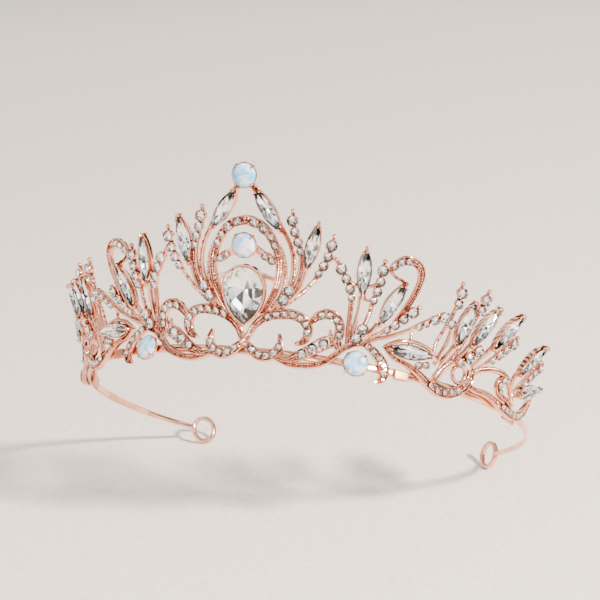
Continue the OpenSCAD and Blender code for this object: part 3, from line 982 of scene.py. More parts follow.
@dataclass(frozen=True)
class Flat:
    """One flat of a CAD node.

    Attributes:
        middle: Its middle.
        normal: Direction that it faces.
        across: Its diameter.
    """

    middle: Vector
    normal: Vector
    across: float


INWARDS = 0.6         # cosine of the steepest turn of a flat back away from the head
SAME_PLANE = 0.99995  # cosine between the normals of two faces of one flat
ROUND_SHARE = 0.5     # a round flat fills at least this share of the circle round it
SMALLEST_BACK = 0.7   # radius of the smallest flat back


def backs_of(node: str) -> list[Flat]:
    """Find the flat backs of the turned solids in a CAD node.

    Args:
        node: Name of the CAD node.

    Returns:
        Every large flat that faces the wearer's head, in millimetres.
    """
    bm = cad_mesh(node)
    bm.faces.index_update()
    seen: set[int] = set()
    found = []
    for start in bm.faces:
        inwards = Vector((-start.normal.x, -start.normal.y)).dot(
            start.calc_center_median().xy.normalized())
        if start.index in seen or inwards < INWARDS:
            continue
        seen.add(start.index)
        group, waiting = [], [start]
        while waiting:
            face = waiting.pop()
            group.append(face)
            for other in (o for e in face.edges for o in e.link_faces):
                if other.index not in seen and other.normal.dot(start.normal) > SAME_PLANE:
                    seen.add(other.index)
                    waiting.append(other)
        area = sum(f.calc_area() for f in group)
        middle = sum((f.calc_center_median() * f.calc_area() for f in group), Vector()) / area
        reach = max((v.co - middle).length for f in group for v in f.verts)
        if area > ROUND_SHARE * math.pi * reach ** 2 and reach > SMALLEST_BACK:
            found.append(Flat(middle, start.normal.copy(), 2 * reach))
    bm.free()
    return found


def stones_of(node: str) -> list[Stone]:
    """Return the round stones of a CAD node.

    Args:
        node: Name of the CAD node.

    Returns:
        Its stones, in millimetres.
    """
    flats, stones = backs_of(node), []
    for flat in flats:
        others = [f.middle for f in flats if f is not flat]
        nearest = min(others, key=lambda m: (m - flat.middle).length)
        stones.append(Stone(flat.middle, -flat.normal, flat.across / BACK_SHARE,
                            nearest - flat.middle))
    return stones


# ---------- small shapes ----------

def brilliant() -> Mesh:
    """Cut a round brilliant one millimetre across, with its girdle at 0.27.

    Returns:
        The stone, with its culet just behind its seat.
    """
    girdle = 0.27
    points = (round_ring(8, 0.26, 0.45) + round_ring(8, 0.4, 0.37, 22.5)
              + round_ring(16, 0.5, girdle + 0.03, 11.25) + round_ring(8, 0.49, girdle)
              + [Vector((0, 0, -0.04))])
    return hull_gem(points, girdle, "brilliant")


def bead() -> Mesh:
    """Shape a ball one millimetre in radius, of a few dozen faces.

    Returns:
        The ball.
    """
    bm = bmesh.new()
    bmesh.ops.create_uvsphere(bm, u_segments=8, v_segments=5, radius=1.0)
    return keep_shape(bm, "bead")


def seat() -> Mesh:
    """Turn the cup under a round stone one millimetre across: a flared wall round a bore.

    Returns:
        The cup.
    """
    bm = bmesh.new()
    spin_profile(bm, [(0.3, -0.28), (0.5, -0.24), (0.56, 0.12), (0.54, 0.26), (0.49, 0.24),
                      (0.26, 0.02)], 12)
    return keep_shape(bm, "seat")


BRILLIANT, BEAD, SEAT = brilliant(), bead(), seat()


def put_bead(bm: BMesh, place: Matrix, x: float, y: float, z: float, radius: float) -> None:
    """Stamp a bead at x, y, z of a place."""
    stamp(bm, BEAD, place @ Matrix.Translation((x, y, z)) @ Matrix.Scale(radius, 4))


# ---------- navettes ----------

# Outlines of the rim that follows a navette and of the bar under it, across and out.
NAVETTE_RIM = [(-0.22, -HALF), (0.22, -HALF), (0.26, 0.4), (0.12, 0.95), (-0.1, 0.95),
               (-0.22, 0.4)]
NAVETTE_SPINE = [(-0.5, -HALF), (0.5, -HALF), (0.5, -0.15), (-0.5, -0.15)]


@dataclass(frozen=True)
class Navette:
    """A boat-shaped crystal and the claws that hold it.

    Attributes:
        name: Its name in the CAD node's name.
        u: Place of its root along the headband.
        v: Place of its root up the face.
        slant: Slant from upright, in degrees, to the right.
        length: Length of the stone.
        width: Width of the stone.
        girdle: Height of its widest line above the middle of the casting.
        table: Height of its table above the middle of the casting.
        spine_reach: Half the length of the bar under it.
        claw_ball: Radius of the bead that ends a claw.
        side_ball: Radius of the beads beside a claw.
    """

    name: str
    u: float
    v: float
    slant: float
    length: float = 14.0
    width: float = 4.0
    girdle: float = 1.6
    table: float = 2.6
    spine_reach: float = 6.6
    claw_ball: float = 0.36
    side_ball: float = 0.42

    def place(self) -> Matrix:
        """Return the frame of the stone's middle: Y along it, away from its root."""
        return (FACE.place(self.u, self.v) @ about_z(-self.slant)
                @ Matrix.Translation((0, self.length / 2, 0)))

    def outline(self, grow: float, count: int) -> list[Point]:
        """Return points round the stone's outline, moved out by grow.

        Args:
            grow: How far the points are moved out.
            count: Points along each side.

        Returns:
            The points, in order.
        """
        length, width = self.length / 2 + grow, self.width / 2 + grow
        radius = (length ** 2 + width ** 2) / (2 * width)
        swing = math.asin(length / radius)
        points = []
        for side in (1, -1):
            for k in range(count):
                a = side * swing * (2 * k / count - 1)
                points.append((side * (radius * math.cos(a) - radius + width),
                               radius * math.sin(a)))
        return points

    def gem(self) -> Mesh:
        """Cut the stone: long facets that run from a narrow table and a keel to its tips.

        Returns:
            The stone, in its own frame.
        """
        g, t = self.girdle, self.table
        l, w = self.length / 2, self.width / 2
        points = [Vector((x, y, z)) for x, y in self.outline(0, count=6) for z in (g, g + 0.1)]
        points += [Vector((x * w, y * l, t)) for x, y in
                   ((0.24, 0.34), (-0.24, 0.34), (0.24, -0.34), (-0.24, -0.34))]
        points += [Vector((0, y * l, t - 0.12)) for y in (-0.6, 0.6)]
        points += [Vector((x * w, y * l, g - z)) for x, y, z in
                   ((0, 0.08, 1.4), (0, -0.12, 1.4), (0.3, -0.3, 0.8), (-0.3, -0.36, 0.8),
                    (0.28, 0.34, 0.8), (-0.28, 0.3, 0.8))]
        return hull_gem(points, g, "navette")

    def mount(self, bm: BMesh) -> None:
        """Add the rim under the stone, the claw over each tip and the beads beside it.

        Args:
            bm: Mesh that takes them.
        """
        place, along = self.place(), Vector((1, 0, 0))
        rings = rim_rings(place, self.outline(0.05, count=10), 0.5)
        sweep(bm, lambda _: NAVETTE_RIM, rings, closed=True)
        spine = [ring_at(place, Vector((0, y, 0)), along, OUT, 0.9)
                 for y in (-self.spine_reach, 0, self.spine_reach)]
        sweep(bm, lambda _: NAVETTE_SPINE, spine)
        for degrees in (0, 180):
            self.claw(bm, place @ about_z(degrees))

    def claw(self, bm: BMesh, place: Matrix) -> None:
        """Add a claw that bends over the tip of the stone, with a bead on each side.

        Args:
            bm: Mesh that takes it.
            place: Frame of the stone, with the claw's tip along Y.
        """
        tip, top = self.length / 2, self.girdle + 0.75
        spine = [(tip + 0.35, -HALF, 1.0), (tip + 0.5, 0.5, 0.95), (tip + 0.42, top - 0.5, 0.85),
                 (tip + 0.05, top - 0.02, 0.75), (tip - 0.75, top + 0.12, 0.6)]
        rings, across = [], Vector((1, 0, 0))
        for i, (y, z, width) in enumerate(spine):
            before, after = spine[max(i - 1, 0)], spine[min(i + 1, len(spine) - 1)]
            along = Vector((0, after[0] - before[0], after[1] - before[1])).normalized()
            rings.append(ring_at(place, Vector((0, y, z)), across, across.cross(along), width))
        sweep(bm, lambda r: oval(r.width / 2, 0.24), rings)
        put_bead(bm, place, 0, tip - 0.75, top + 0.1, self.claw_ball)
        for x in (-1, 1):
            put_bead(bm, place, x * 0.85, tip - 1.2, self.girdle + 0.05, self.side_ball)


# ---------- castings ----------

@dataclass
class Casting:
    """A cast filigree panel: its bars, the seats of its stones and its claws.

    Attributes:
        name: Name of the piece.
        node: CAD node that it stands for.
        bars: Bars of its right-hand half, or of the right-hand panel.
        stones: Round stones that stand on it.
        navettes: Navettes that it holds.
        halves: Mirror signs that are drawn: one for a side panel, both for the centre.
        tips: Bars whose free end carries a ball.
        rails: Cross-sections of its channels, kept while it is built.
        tip_ball: Radius of the balls at the bars' free ends.
        grains: Radius of the grains that hold a small stone and a large one.
        large_stone: Diameter from which a stone is large.
    """

    name: str
    node: str
    bars: Sequence[Bar]
    stones: list[Stone]
    navettes: Sequence[Navette]
    halves: tuple[int, ...]
    tips: Sequence[Bar]
    rails: list[Ring] = field(default_factory=list)
    tip_ball: float = 0.78
    grains: Point = (0.26, 0.32)
    large_stone: float = 2.5

    def build(self) -> None:
        """Build the panel."""
        half = bmesh.new()
        for bar in self.bars:
            self.add_bar(half, bar)
        for navette in self.navettes:
            navette.mount(half)
        for bar in self.tips:
            self.add_tip(half, bar)
        shape = keep_shape(half, "half")
        bm = bmesh.new()
        for sign in self.halves:
            stamp(bm, shape, mirror(sign))
        bpy.data.meshes.remove(shape)
        for stone in self.stones:
            self.add_seat(bm, stone)
        stand_for(settle(bm, self.name, [ROSE, GRAINED]), "rose_plate", self.node)

    def near_stone(self, ring: Ring) -> bool:
        """Tell whether a stone covers a channel's floor at a ring of the right-hand half.

        Args:
            ring: Cross-section of the channel.

        Returns:
            Whether a stone covers it.
        """
        return any((stone.back_on(sign) - ring.centre).length
                   < math.hypot(stone.across / 2 + STONE_ROOM, HALF)
                   for stone in self.stones for sign in self.halves)

    def add_bar(self, bm: BMesh, bar: Bar) -> None:
        """Add one bar in the way that it is worked.

        Args:
            bm: Mesh that takes it.
            bar: The bar.
        """
        fine = rings_along(bar.path, BEAD_PITCH / 4, even=True)
        coarse = rings_along(bar.path, BAR_PITCH)
        if bar.cut is Cut.ROD:
            sweep(bm, rod_section, coarse)
        elif bar.cut is Cut.ROPE:
            sweep(bm, rope_section, fine, grained=range(ROPE_SIDES))
        elif bar.cut is Cut.TWIN:
            sweep(bm, shifted(rod_section, share=-0.24, scale=0.62), coarse)
            sweep(bm, shifted(rope_section, share=0.3, scale=0.5), fine,
                  grained=range(ROPE_SIDES))
        else:
            sweep(bm, channel_section, coarse, grained=FLOOR_SIDES)
            self.rails += coarse
            self.add_floor(bm, fine)

    def add_floor(self, bm: BMesh, rings: list[Ring]) -> None:
        """Lay a rope on the parts of a channel's floor that hold no stone.

        Args:
            bm: Mesh that takes the ropes.
            rings: Cross-sections of the channel.
        """
        spans: list[list[Ring]] = [[]]
        for ring in rings:
            if self.near_stone(ring) or ring.width < NARROW_CHANNEL:
                spans.append([])
            else:
                spans[-1].append(ring)
        for span in spans:
            if len(span) > SHORTEST_ROPE:
                for share, start in ((-0.16, 0), (0.16, 2)):
                    sweep(bm, shifted(rope_section, share, scale=0.34, lift=0.16), span[start:],
                          grained=range(ROPE_SIDES))

    def add_tip(self, bm: BMesh, bar: Bar) -> None:
        """Add the ball at the free end of a stem."""
        u, v, _ = bar.path[0]
        put_bead(bm, FACE.place(u, v), 0, 0.1, 0.25, self.tip_ball)

    def add_seat(self, bm: BMesh, stone: Stone) -> None:
        """Add a stone's cup, unless it lies in a channel, and the grains that hold it.

        Args:
            bm: Mesh that takes them.
            stone: The stone.
        """
        in_channel = any((stone.back_on(sign) - ring.centre).length < HALF + OFF_LINE
                         for ring in self.rails for sign in self.halves)
        place = stone.place()
        if not in_channel:
            stamp(bm, SEAT, place @ Matrix.Scale(stone.across, 4))
        grain = self.grains[stone.across >= self.large_stone]
        for x, y in oval(*(stone.across / 2 + 0.02,) * 2, 4, math.radians(45)):
            put_bead(bm, place, x, y, stone.across * 0.32, grain)


def loop(middle: Point, reach: Point, width: float) -> Stroke:
    """Return a closed oval path of one width, with its half axes along u and v."""
    return tuple((middle[0] + u, middle[1] + v, width)
                 for u, v in oval(*reach, sides=12) + [(reach[0], 0)])


@dataclass(frozen=True)
class CrownPattern:
    """The bars and navettes of the crown's right-hand half, panel by panel.

    Attributes:
        centre: Bars of the centre panel, down to the middle of the front.
        side: Bars of the panel beside it, with the fan and the tall scroll.
        outer: Bars of the next panel, with the three leaning navettes.
        end: Bars of the low panel at the end of the crown.
        centre_navettes: Navettes of the centre panel.
        side_navettes: Navettes of the side panel.
        outer_navettes: Navettes of the outer panel.
        end_navettes: Navettes of the end panel.
        stone_turn: Degrees by which each round stone is turned more than the last.
    """

    centre: tuple[Bar, ...] = (
        Bar(Cut.TWIN, ((-0.6, 48.5, 1.8), (2.4, 47, 1.4), (5.2, 43, 1.3), (7.4, 39, 1.3),
            (9.4, 35.2, 1.3), (11.2, 31.4, 1.3), (12.3, 27, 1.4), (12.3, 22, 1.5),
            (10.8, 16.8, 1.7), (7.8, 12.2, 1.8))),
        Bar(Cut.CHANNEL, ((-0.6, 37.9, 2.8), (2.5, 37.3, 2.8), (4.9, 35.4, 2.7), (6.6, 32.8, 2.5),
            (7.8, 30, 2.4), (8.8, 26.6, 2.3), (8.9, 22.6, 2.3), (8.2, 18.4, 2.2), (6.6, 14.4, 2),
            (4.6, 10.6, 1.6))),
        Bar(Cut.ROPE, ((8.4, 31.4, 1), (10, 27, 1.2), (10.5, 22, 1.3), (9.8, 17.2, 1.4),
            (7.6, 12.6, 1.6))),
        Bar(Cut.ROD, ((8.6, 26.4, 1.6), (7, 26.4, 2.4), (5.4, 27.6, 2.6), (3.8, 28.2, 1.6),
            (2.4, 29.2, 0.8))),
        Bar(Cut.ROD, ((-0.5, 22.5, 1.4), (4, 22.2, 1.4), (8.7, 20.6, 1.4))),
        Bar(Cut.ROD, ((-0.5, 31.2, 3.4), (2.6, 29.8, 1.6), (5, 28.2, 1.4))),
        Bar(Cut.TWIN, ((11.2, 41.4, 1), (11.3, 39, 1.4), (12.1, 35.6, 1.5), (13.2, 32.4, 1.5),
            (13.9, 29.4, 1.5), (14.2, 26, 1.4), (13.7, 21.6, 1.4), (12, 17.2, 1.5),
            (8.8, 13.2, 1.7))),
        Bar(Cut.ROD, ((15.7, 25.8, 1.6), (14.9, 20.8, 1.4), (13.2, 17, 1.5), (10.2, 13.6, 1.7))),
        Bar(Cut.ROPE, ((21.5, 35.6, 1), (21.2, 33.2, 1.4), (20.8, 29.9, 1.5), (19.9, 26.8, 1.5),
            (18.8, 24, 1.5), (17.4, 21.2, 1.4), (15.2, 18, 1.5), (12.2, 15.2, 1.6),
            (8.6, 12.4, 1.8))),
        Bar(Cut.CHANNEL, ((-0.6, 1.3, 2.4), (1.1, 4.2, 2), (2.5, 7, 2.4), (4.8, 9.4, 2.9),
            (7.6, 10.8, 3), (10.6, 11.4, 3), (13.6, 11.5, 3), (16.2, 10.5, 3), (17.9, 8.4, 3),
            (18, 6, 2.8), (16.9, 4, 2.2), (14.8, 3, 0.9))),
        Bar(Cut.CHANNEL, ((-0.7, 2.7, 2.4), (1.6, 0.9, 2.6), (3.4, -0.6, 3), (5.6, -1.6, 3),
            (8, -1.3, 3), (9.9, 0.3, 3), (10.7, 2.6, 2.2), (10.1, 5.6, 0.8))))
    side: tuple[Bar, ...] = (
        Bar(Cut.CHANNEL, ((18.2, 9.4, 1.8), (19.8, 11.6, 2.6), (22.2, 13, 3), (24.7, 12.7, 3),
            (26.4, 10.8, 3), (26.9, 8.2, 3), (26.7, 5.2, 2.8), (28, 2.8, 2))),
        Bar(Cut.ROD, ((26.2, 5, 1.8), (24.8, 6.4, 1.6), (24.2, 8.6, 0.7))),
        Bar(Cut.CHANNEL, ((10, -1.4, 1.6), (13.4, -1.7, 2), (16, -0.4, 3), (18.6, 1.2, 3.4),
            (21.2, 3.1, 3.8), (23.9, 4.9, 4), (26.6, 5.6, 2.8))),
        Bar(Cut.CHANNEL, ((9.6, -1.6, 1.4), (13.6, -2.8, 1.9), (18.2, -2.9, 1.9),
            (23.2, -1.4, 1.9), (26.6, 1.6, 1.9), (29.6, 4.6, 1.9), (33.2, 6.2, 1.9),
            (36.2, 5.5, 2.2), (38.7, 3.7, 2.7), (40.8, 1.6, 2.9), (41.6, -0.9, 2.8),
            (41, -3.2, 2.2), (39.2, -4.1, 0.9))),
        Bar(Cut.TWIN, ((22.8, 29, 1), (24, 27.4, 1.4), (26, 24.2, 1.5), (27.5, 21.4, 1.5),
            (28.4, 18.4, 1.5), (28.8, 14, 1.5), (29.3, 9.4, 1.5), (29.8, 5, 1.6))),
        Bar(Cut.ROD, ((30.8, 19.8, 1.6), (30.9, 15.6, 1.4), (30.7, 10.4, 1.4), (30.5, 5.4, 1.6))),
        Bar(Cut.ROPE, ((34.9, 31, 1), (34.7, 28.4, 1.4), (34.8, 24.9, 1.5), (34.5, 21.6, 1.5),
            (34.1, 18.6, 1.5), (33.9, 14.8, 1.5), (33.1, 10.8, 1.7), (31.6, 5.6, 1.8))),
        Bar(Cut.ROD, ((21, 30, 1.2), (22.6, 29.2, 1.2), (24, 27.4, 1.2))),
        Bar(Cut.ROD, ((26, 24.2, 1), (28.4, 22.8, 1), (30.8, 22.4, 1), (33, 23.2, 1),
            (34.8, 24.8, 1))),
        Bar(Cut.ROD, ((31.2, 21.4, 0.9), (32, 19, 0.9), (33.4, 19, 0.9), (34.4, 21, 0.9))),
        Bar(Cut.ROD, ((37, 12.8, 1.6), (35.4, 9.6, 1.5), (32.8, 5.8, 1.7))),
        Bar(Cut.CHANNEL, ((41.4, 14, 1.4), (43.2, 18.4, 1.5), (44.7, 23.4, 1.7), (45.2, 27.8, 2),
            (44.4, 31, 2.4), (42.2, 32.6, 2.7), (39.8, 32.4, 2.7), (37.9, 31, 2.2),
            (36.8, 29, 1.2), (38.4, 27.2, 1), (40.4, 26.6, 1), (41.6, 24.8, 1.1))),
        Bar(Cut.ROPE, ((47.1, 20, 1), (45.4, 18.2, 1.4), (43, 15.2, 1.5), (41, 12.9, 1.5),
            (38.6, 10.5, 1.5), (35.4, 8, 1.5), (32.4, 5.4, 1.7))),
        Bar(Cut.ROD, ((33.4, 6, 1.6), (37, 7.9, 1.3), (40.6, 9.6, 1.2), (43.8, 11.4, 1.2),
            (46.4, 13, 1.4))))
    outer: tuple[Bar, ...] = (
        Bar(Cut.ROD, ((46.2, 12.8, 1.4), (48.8, 15, 1.5), (51.6, 17.2, 1.6), (54.4, 19.4, 1.6),
            (57, 18.8, 1.4), (58.6, 16.8, 1.2), (58.8, 12.4, 1.2), (58, 8, 1.4), (57.2, 5, 1.6))),
        Bar(Cut.ROPE, ((46.8, 13.4, 1.2), (47.5, 10.8, 1.2), (48, 7.6, 1.4))),
        Bar(Cut.ROD, ((40.4, 6.6, 1.2), (44, 9, 1.1), (49, 9.9, 1.1), (54, 9, 1.2),
            (57.4, 6.4, 1.5))),
        Bar(Cut.CHANNEL, ((40.4, 6.8, 1.2), (43.6, 4.2, 1.4), (48, 3, 1.8), (52, 1.4, 2.2),
            (55.6, -0.9, 2.6), (59.4, -2.3, 2.9), (63.2, -2.1, 3), (66.6, -0.5, 3), (69.2, 1.7, 3),
            (70.6, 4.4, 2.6), (70.4, 7, 2))),
        Bar(Cut.ROPE, ((57.1, 30, 1), (57.4, 27.2, 1.4), (57.7, 23.4, 1.5), (57.2, 19, 1.4),
            (56.2, 14.8, 1.3), (55.4, 11, 1.3), (56.2, 6.4, 1.6))),
        Bar(Cut.ROD, ((61.6, 12, 1.6), (60.4, 8.8, 1.5), (58.2, 4.6, 1.8))),
        Bar(Cut.ROPE, ((66, 30.2, 1), (65.5, 27.4, 1.4), (65.3, 23.4, 1.5), (64.9, 19, 1.3),
            (64.2, 14, 1.3), (62.8, 9.6, 1.4), (60.4, 4.6, 1.8))),
        Bar(Cut.ROD, ((66.6, 13.6, 1.6), (65.2, 10.4, 1.5), (62.6, 6.4, 1.7))),
        Bar(Cut.ROD, ((74.8, 15, 1.6), (72.8, 11.6, 1.5), (70.4, 7.6, 1.8))),
        Bar(Cut.ROPE, ((83.6, 21, 1), (82, 18.6, 1.4), (79.4, 15.6, 1.5), (77.2, 12.8, 1.5),
            (75, 10, 1.5), (72.6, 7.6, 1.6), (70.2, 5.2, 1.8))),
        Bar(Cut.ROD, ((71, 14.6, 1.2), (69.6, 12.8, 1.8), (67.6, 10.2, 2), (65.4, 8, 2),
            (62.4, 6.6, 2.2), (60, 4, 2.6), (58.2, 1, 2.6))),
        Bar(Cut.ROD, loop((66.4, 4.6), (2.4, 2.6), 1.1)))
    end: tuple[Bar, ...] = (
        Bar(Cut.CHANNEL, ((71.2, 2, 1.6), (73.6, 1.6, 1.8), (77, 1.7, 2), (81, 1.3, 2.2),
            (85, 0.4, 2.5), (89, -0.5, 2.8), (93.4, -0.8, 3), (97.8, -0.2, 3), (101.8, 1.6, 2.8),
            (105, 4.4, 2.4), (107, 7.6, 0.9))),
        Bar(Cut.TWIN, ((71.4, 6.2, 1.8), (75, 8.2, 1.7), (79.4, 9.4, 1.7), (84, 9.6, 1.7),
            (88, 8.4, 1.8), (92, 5.4, 2), (94, 1.4, 2.2))),
        Bar(Cut.CHANNEL, ((88, 8.6, 1.6), (85.4, 8.2, 2.4), (83.8, 6.4, 2.5), (84.4, 4.2, 2.2),
            (87, 3, 1.8), (90, 2.6, 1.6), (93, 1.4, 1.8))),
        Bar(Cut.ROD, ((91, 11.4, 1.6), (90.6, 8.6, 1.5), (91.6, 4.8, 1.7))),
        Bar(Cut.ROPE, ((103.6, 19, 1), (102.2, 17.2, 1.4), (99.6, 14.2, 1.5), (97.2, 11.6, 1.5),
            (95, 8.6, 1.5), (93.4, 4.8, 1.7), (93.6, 1.2, 1.8))),
        Bar(Cut.ROD, ((94.6, 6.6, 1.6), (93.4, 3.6, 1.7), (93.8, 0.6, 1.8))))
    centre_navettes: tuple[Navette, ...] = (Navette("apex", 8.6, 35.4, -36),
                                            Navette("crest", 15.7, 25, 9))
    side_navettes: tuple[Navette, ...] = (Navette("fan", 30.9, 19.8, -6),
                                          Navette("crook", 37.2, 12.8, 20))
    outer_navettes: tuple[Navette, ...] = (Navette("lying", 41.4, 6.4, 88),
                                           Navette("outer_1", 61.5, 12, 5),
                                           Navette("outer_2", 66.6, 13.6, 21),
                                           Navette("outer_3", 74.9, 15, 27))
    end_navettes: tuple[Navette, ...] = (Navette("end_upper", 91.2, 11.6, 36),
                                         Navette("end_lower", 95, 5.6, 66))

    stone_turn: float = 37.0

    def build(self) -> None:
        """Build every panel, its round stones and its navettes."""
        stones = stones_of("rounds_centre")
        Casting("centre_filigree", "centre_casting", self.centre, stones,
                self.centre_navettes, (-1, 1), (self.centre[6], self.centre[8])).build()
        self.set_rounds("centre", stones)
        self.set_navettes(self.centre_navettes)
        for part, bars, navettes, tips in (
                ("side", self.side, self.side_navettes, (4, 6, 12)),
                ("outer", self.outer, self.outer_navettes, (4, 6, 9)),
                ("end", self.end, self.end_navettes, (4,))):
            for sign, side in SIDES:
                stones = stones_of(f"rounds_{part}_{side}")
                Casting(f"{part}_filigree_{side}", f"{part}_casting_{side}", bars, stones,
                        navettes, (sign,), [bars[i] for i in tips]).build()
                self.set_rounds(f"{part}_{side}", stones)
            self.set_navettes(navettes)

    def set_rounds(self, part: str, stones: list[Stone]) -> None:
        """Set a panel's round brilliants where the CAD part has them.

        Args:
            part: Name of the panel.
            stones: Its stones.
        """
        bm = bmesh.new()
        for i, stone in enumerate(stones):
            stamp(bm, BRILLIANT, stone.place(self.stone_turn * i) @ Matrix.Scale(stone.across, 4))
        piece = settle(bm, f"brilliants_{part}", [CRYSTAL, FOIL], sharp=None)
        stand_for(piece, "crystal", f"rounds_{part}")

    def set_navettes(self, navettes: Iterable[Navette]) -> None:
        """Set navettes on both sides of the crown.

        Args:
            navettes: Navettes of the right-hand half.
        """
        for navette in navettes:
            gem = navette.gem()
            for sign, side in SIDES:
                bm = bmesh.new()
                stamp(bm, gem, mirror(sign) @ navette.place())
                piece = settle(bm, f"navette_gem_{navette.name}_{side}", [CRYSTAL, FOIL],
                               sharp=None)
                stand_for(piece, "crystal", f"navette_{navette.name}_{side}")


# ---------- pear and opals ----------

LAID = 0.02           # air under a stone that lies in a cup

@dataclass(frozen=True)
class PearStone:
    """The pear crystal in the middle of the crown, and its cup.

    Attributes:
        width: Width of the stone.
        tip: Distance from its widest line to its tip.
        seat_v: Place of its widest line up the face.
        cup_back: Height of the cup's back above the middle of the casting.
        cup_floor: Thickness of the cup's floor.
        cup_rise: Height of the cup's wall above its floor.
        wall: Thickness of the cup's wall.
        gap: Gap between the stone and the wall.
        milling: Radius of the beads round the rim.
        claw_ball: Radius of the claws' balls.
        claws: Places of the claws round the stone's widest line.
    """

    width: float = 12.0
    tip: float = 10.6
    seat_v: float = 18.7
    cup_back: float = 0.62
    cup_floor: float = 0.5
    cup_rise: float = 1.6
    wall: float = 0.5
    gap: float = 0.04
    milling: float = 0.24
    claw_ball: float = 0.5
    claws: tuple[Point, ...] = ((4.3, 4.3), (-4.3, 4.3), (5.4, -3.2), (-5.4, -3.2), (0, -10.9))

    def outline(self, grow: float, rim: int = 10, flank: int = 6) -> list[Point]:
        """Return points round the stone: a half circle over two arcs that meet at the tip.

        Args:
            grow: How far the points are moved out.
            rim: Steps round the half circle.
            flank: Steps down each arc.

        Returns:
            The points, in order.
        """
        w, tip = self.width / 2 + grow, self.tip + 1.6 * grow
        points = [(w * math.cos(math.pi * i / rim), w * math.sin(math.pi * i / rim))
                  for i in range(rim + 1)]
        radius = (tip * tip + w * w) / (2 * w)
        swing = math.asin(tip / radius)
        left = [(radius - w - radius * math.cos(swing * i / flank),
                 -radius * math.sin(swing * i / flank)) for i in range(1, flank + 1)]
        right = [(-x, y) for x, y in reversed(left[:-1])]
        return points + left + right

    def build(self) -> None:
        """Build the cup and the stone."""
        place = FACE.place(0, self.seat_v) @ Matrix.Translation((0, 0, self.cup_back))
        self.build_cup(place)
        bm = bmesh.new()
        stamp(bm, self.gem(), place @ Matrix.Translation((0, 0, self.cup_floor + LAID)))
        piece = settle(bm, "pear_gem", [CRYSTAL, FOIL], sharp=None)
        stand_for(piece, "crystal", "pear_crystal")

    def gem(self) -> Mesh:
        """Cut the stone: a wide table, two rows of crown facets and broad back facets.

        Returns:
            The stone, in its own frame.
        """
        girdle, table = 1.75, 3.5
        points = [Vector((x, y, z)) for x, y in self.outline(0) for z in (girdle, girdle + 0.15)]
        points += [Vector((x * 0.66, y * 0.66 + 0.2, table)) for x, y in self.outline(0, 6, 3)]
        points += [Vector((x * 0.86, y * 0.86 + 0.1, girdle + 0.95))
                   for x, y in self.outline(0, 7, 4)]
        points += [Vector((x * 0.5, y * 0.5, 0.72)) for x, y in self.outline(0, 3, 2)]
        points += [Vector((0.2, -0.6, 0.03))]
        return hull_gem(points, girdle, "pear")

    def build_cup(self, place: Matrix) -> None:
        """Build the cup: a floor, a wall with a milled rim, and claws round the stone.

        Args:
            place: Frame of the cup's back.
        """
        bm = bmesh.new()
        inner, outer = self.gap, self.gap + self.wall
        height = self.cup_floor + self.cup_rise
        floor = bmesh.new()
        verts = [floor.verts.new((x, y, 0)) for x, y in self.outline(inner + 0.1, 20, 12)]
        base = floor.faces.new(verts)
        grown = bmesh.ops.extrude_face_region(floor, geom=[base])
        bmesh.ops.translate(floor, vec=(0, 0, self.cup_floor),
                            verts=[g for g in grown["geom"]
                                   if isinstance(g, bmesh.types.BMVert)])
        bmesh.ops.recalc_face_normals(floor, faces=floor.faces)
        stamp(bm, keep_shape(floor, "pear_floor"), place)
        rings = rim_rings(place, self.outline((inner + outer) / 2, 22, 14), self.wall)
        half = self.wall / 2
        sweep(bm, lambda _: [(-half, 0), (half, 0), (half, height - 0.2), (half - 0.1, height),
                             (-half + 0.1, height), (-half, height - 0.2)], rings, closed=True)
        for x, y in self.outline(outer - 0.1, 26, 20):
            put_bead(bm, place, x, y, height - 0.25, self.milling)
        for x, y in self.claws:
            lean = Vector((-x, -y, 0)).normalized()
            put_bead(bm, place, x + lean.x * 0.1, y + lean.y * 0.1, height + 0.25, self.claw_ball)
        piece = settle(bm, "pear_bezel", [ROSE])
        stand_for(piece, "rose_plate", "pear_cup")


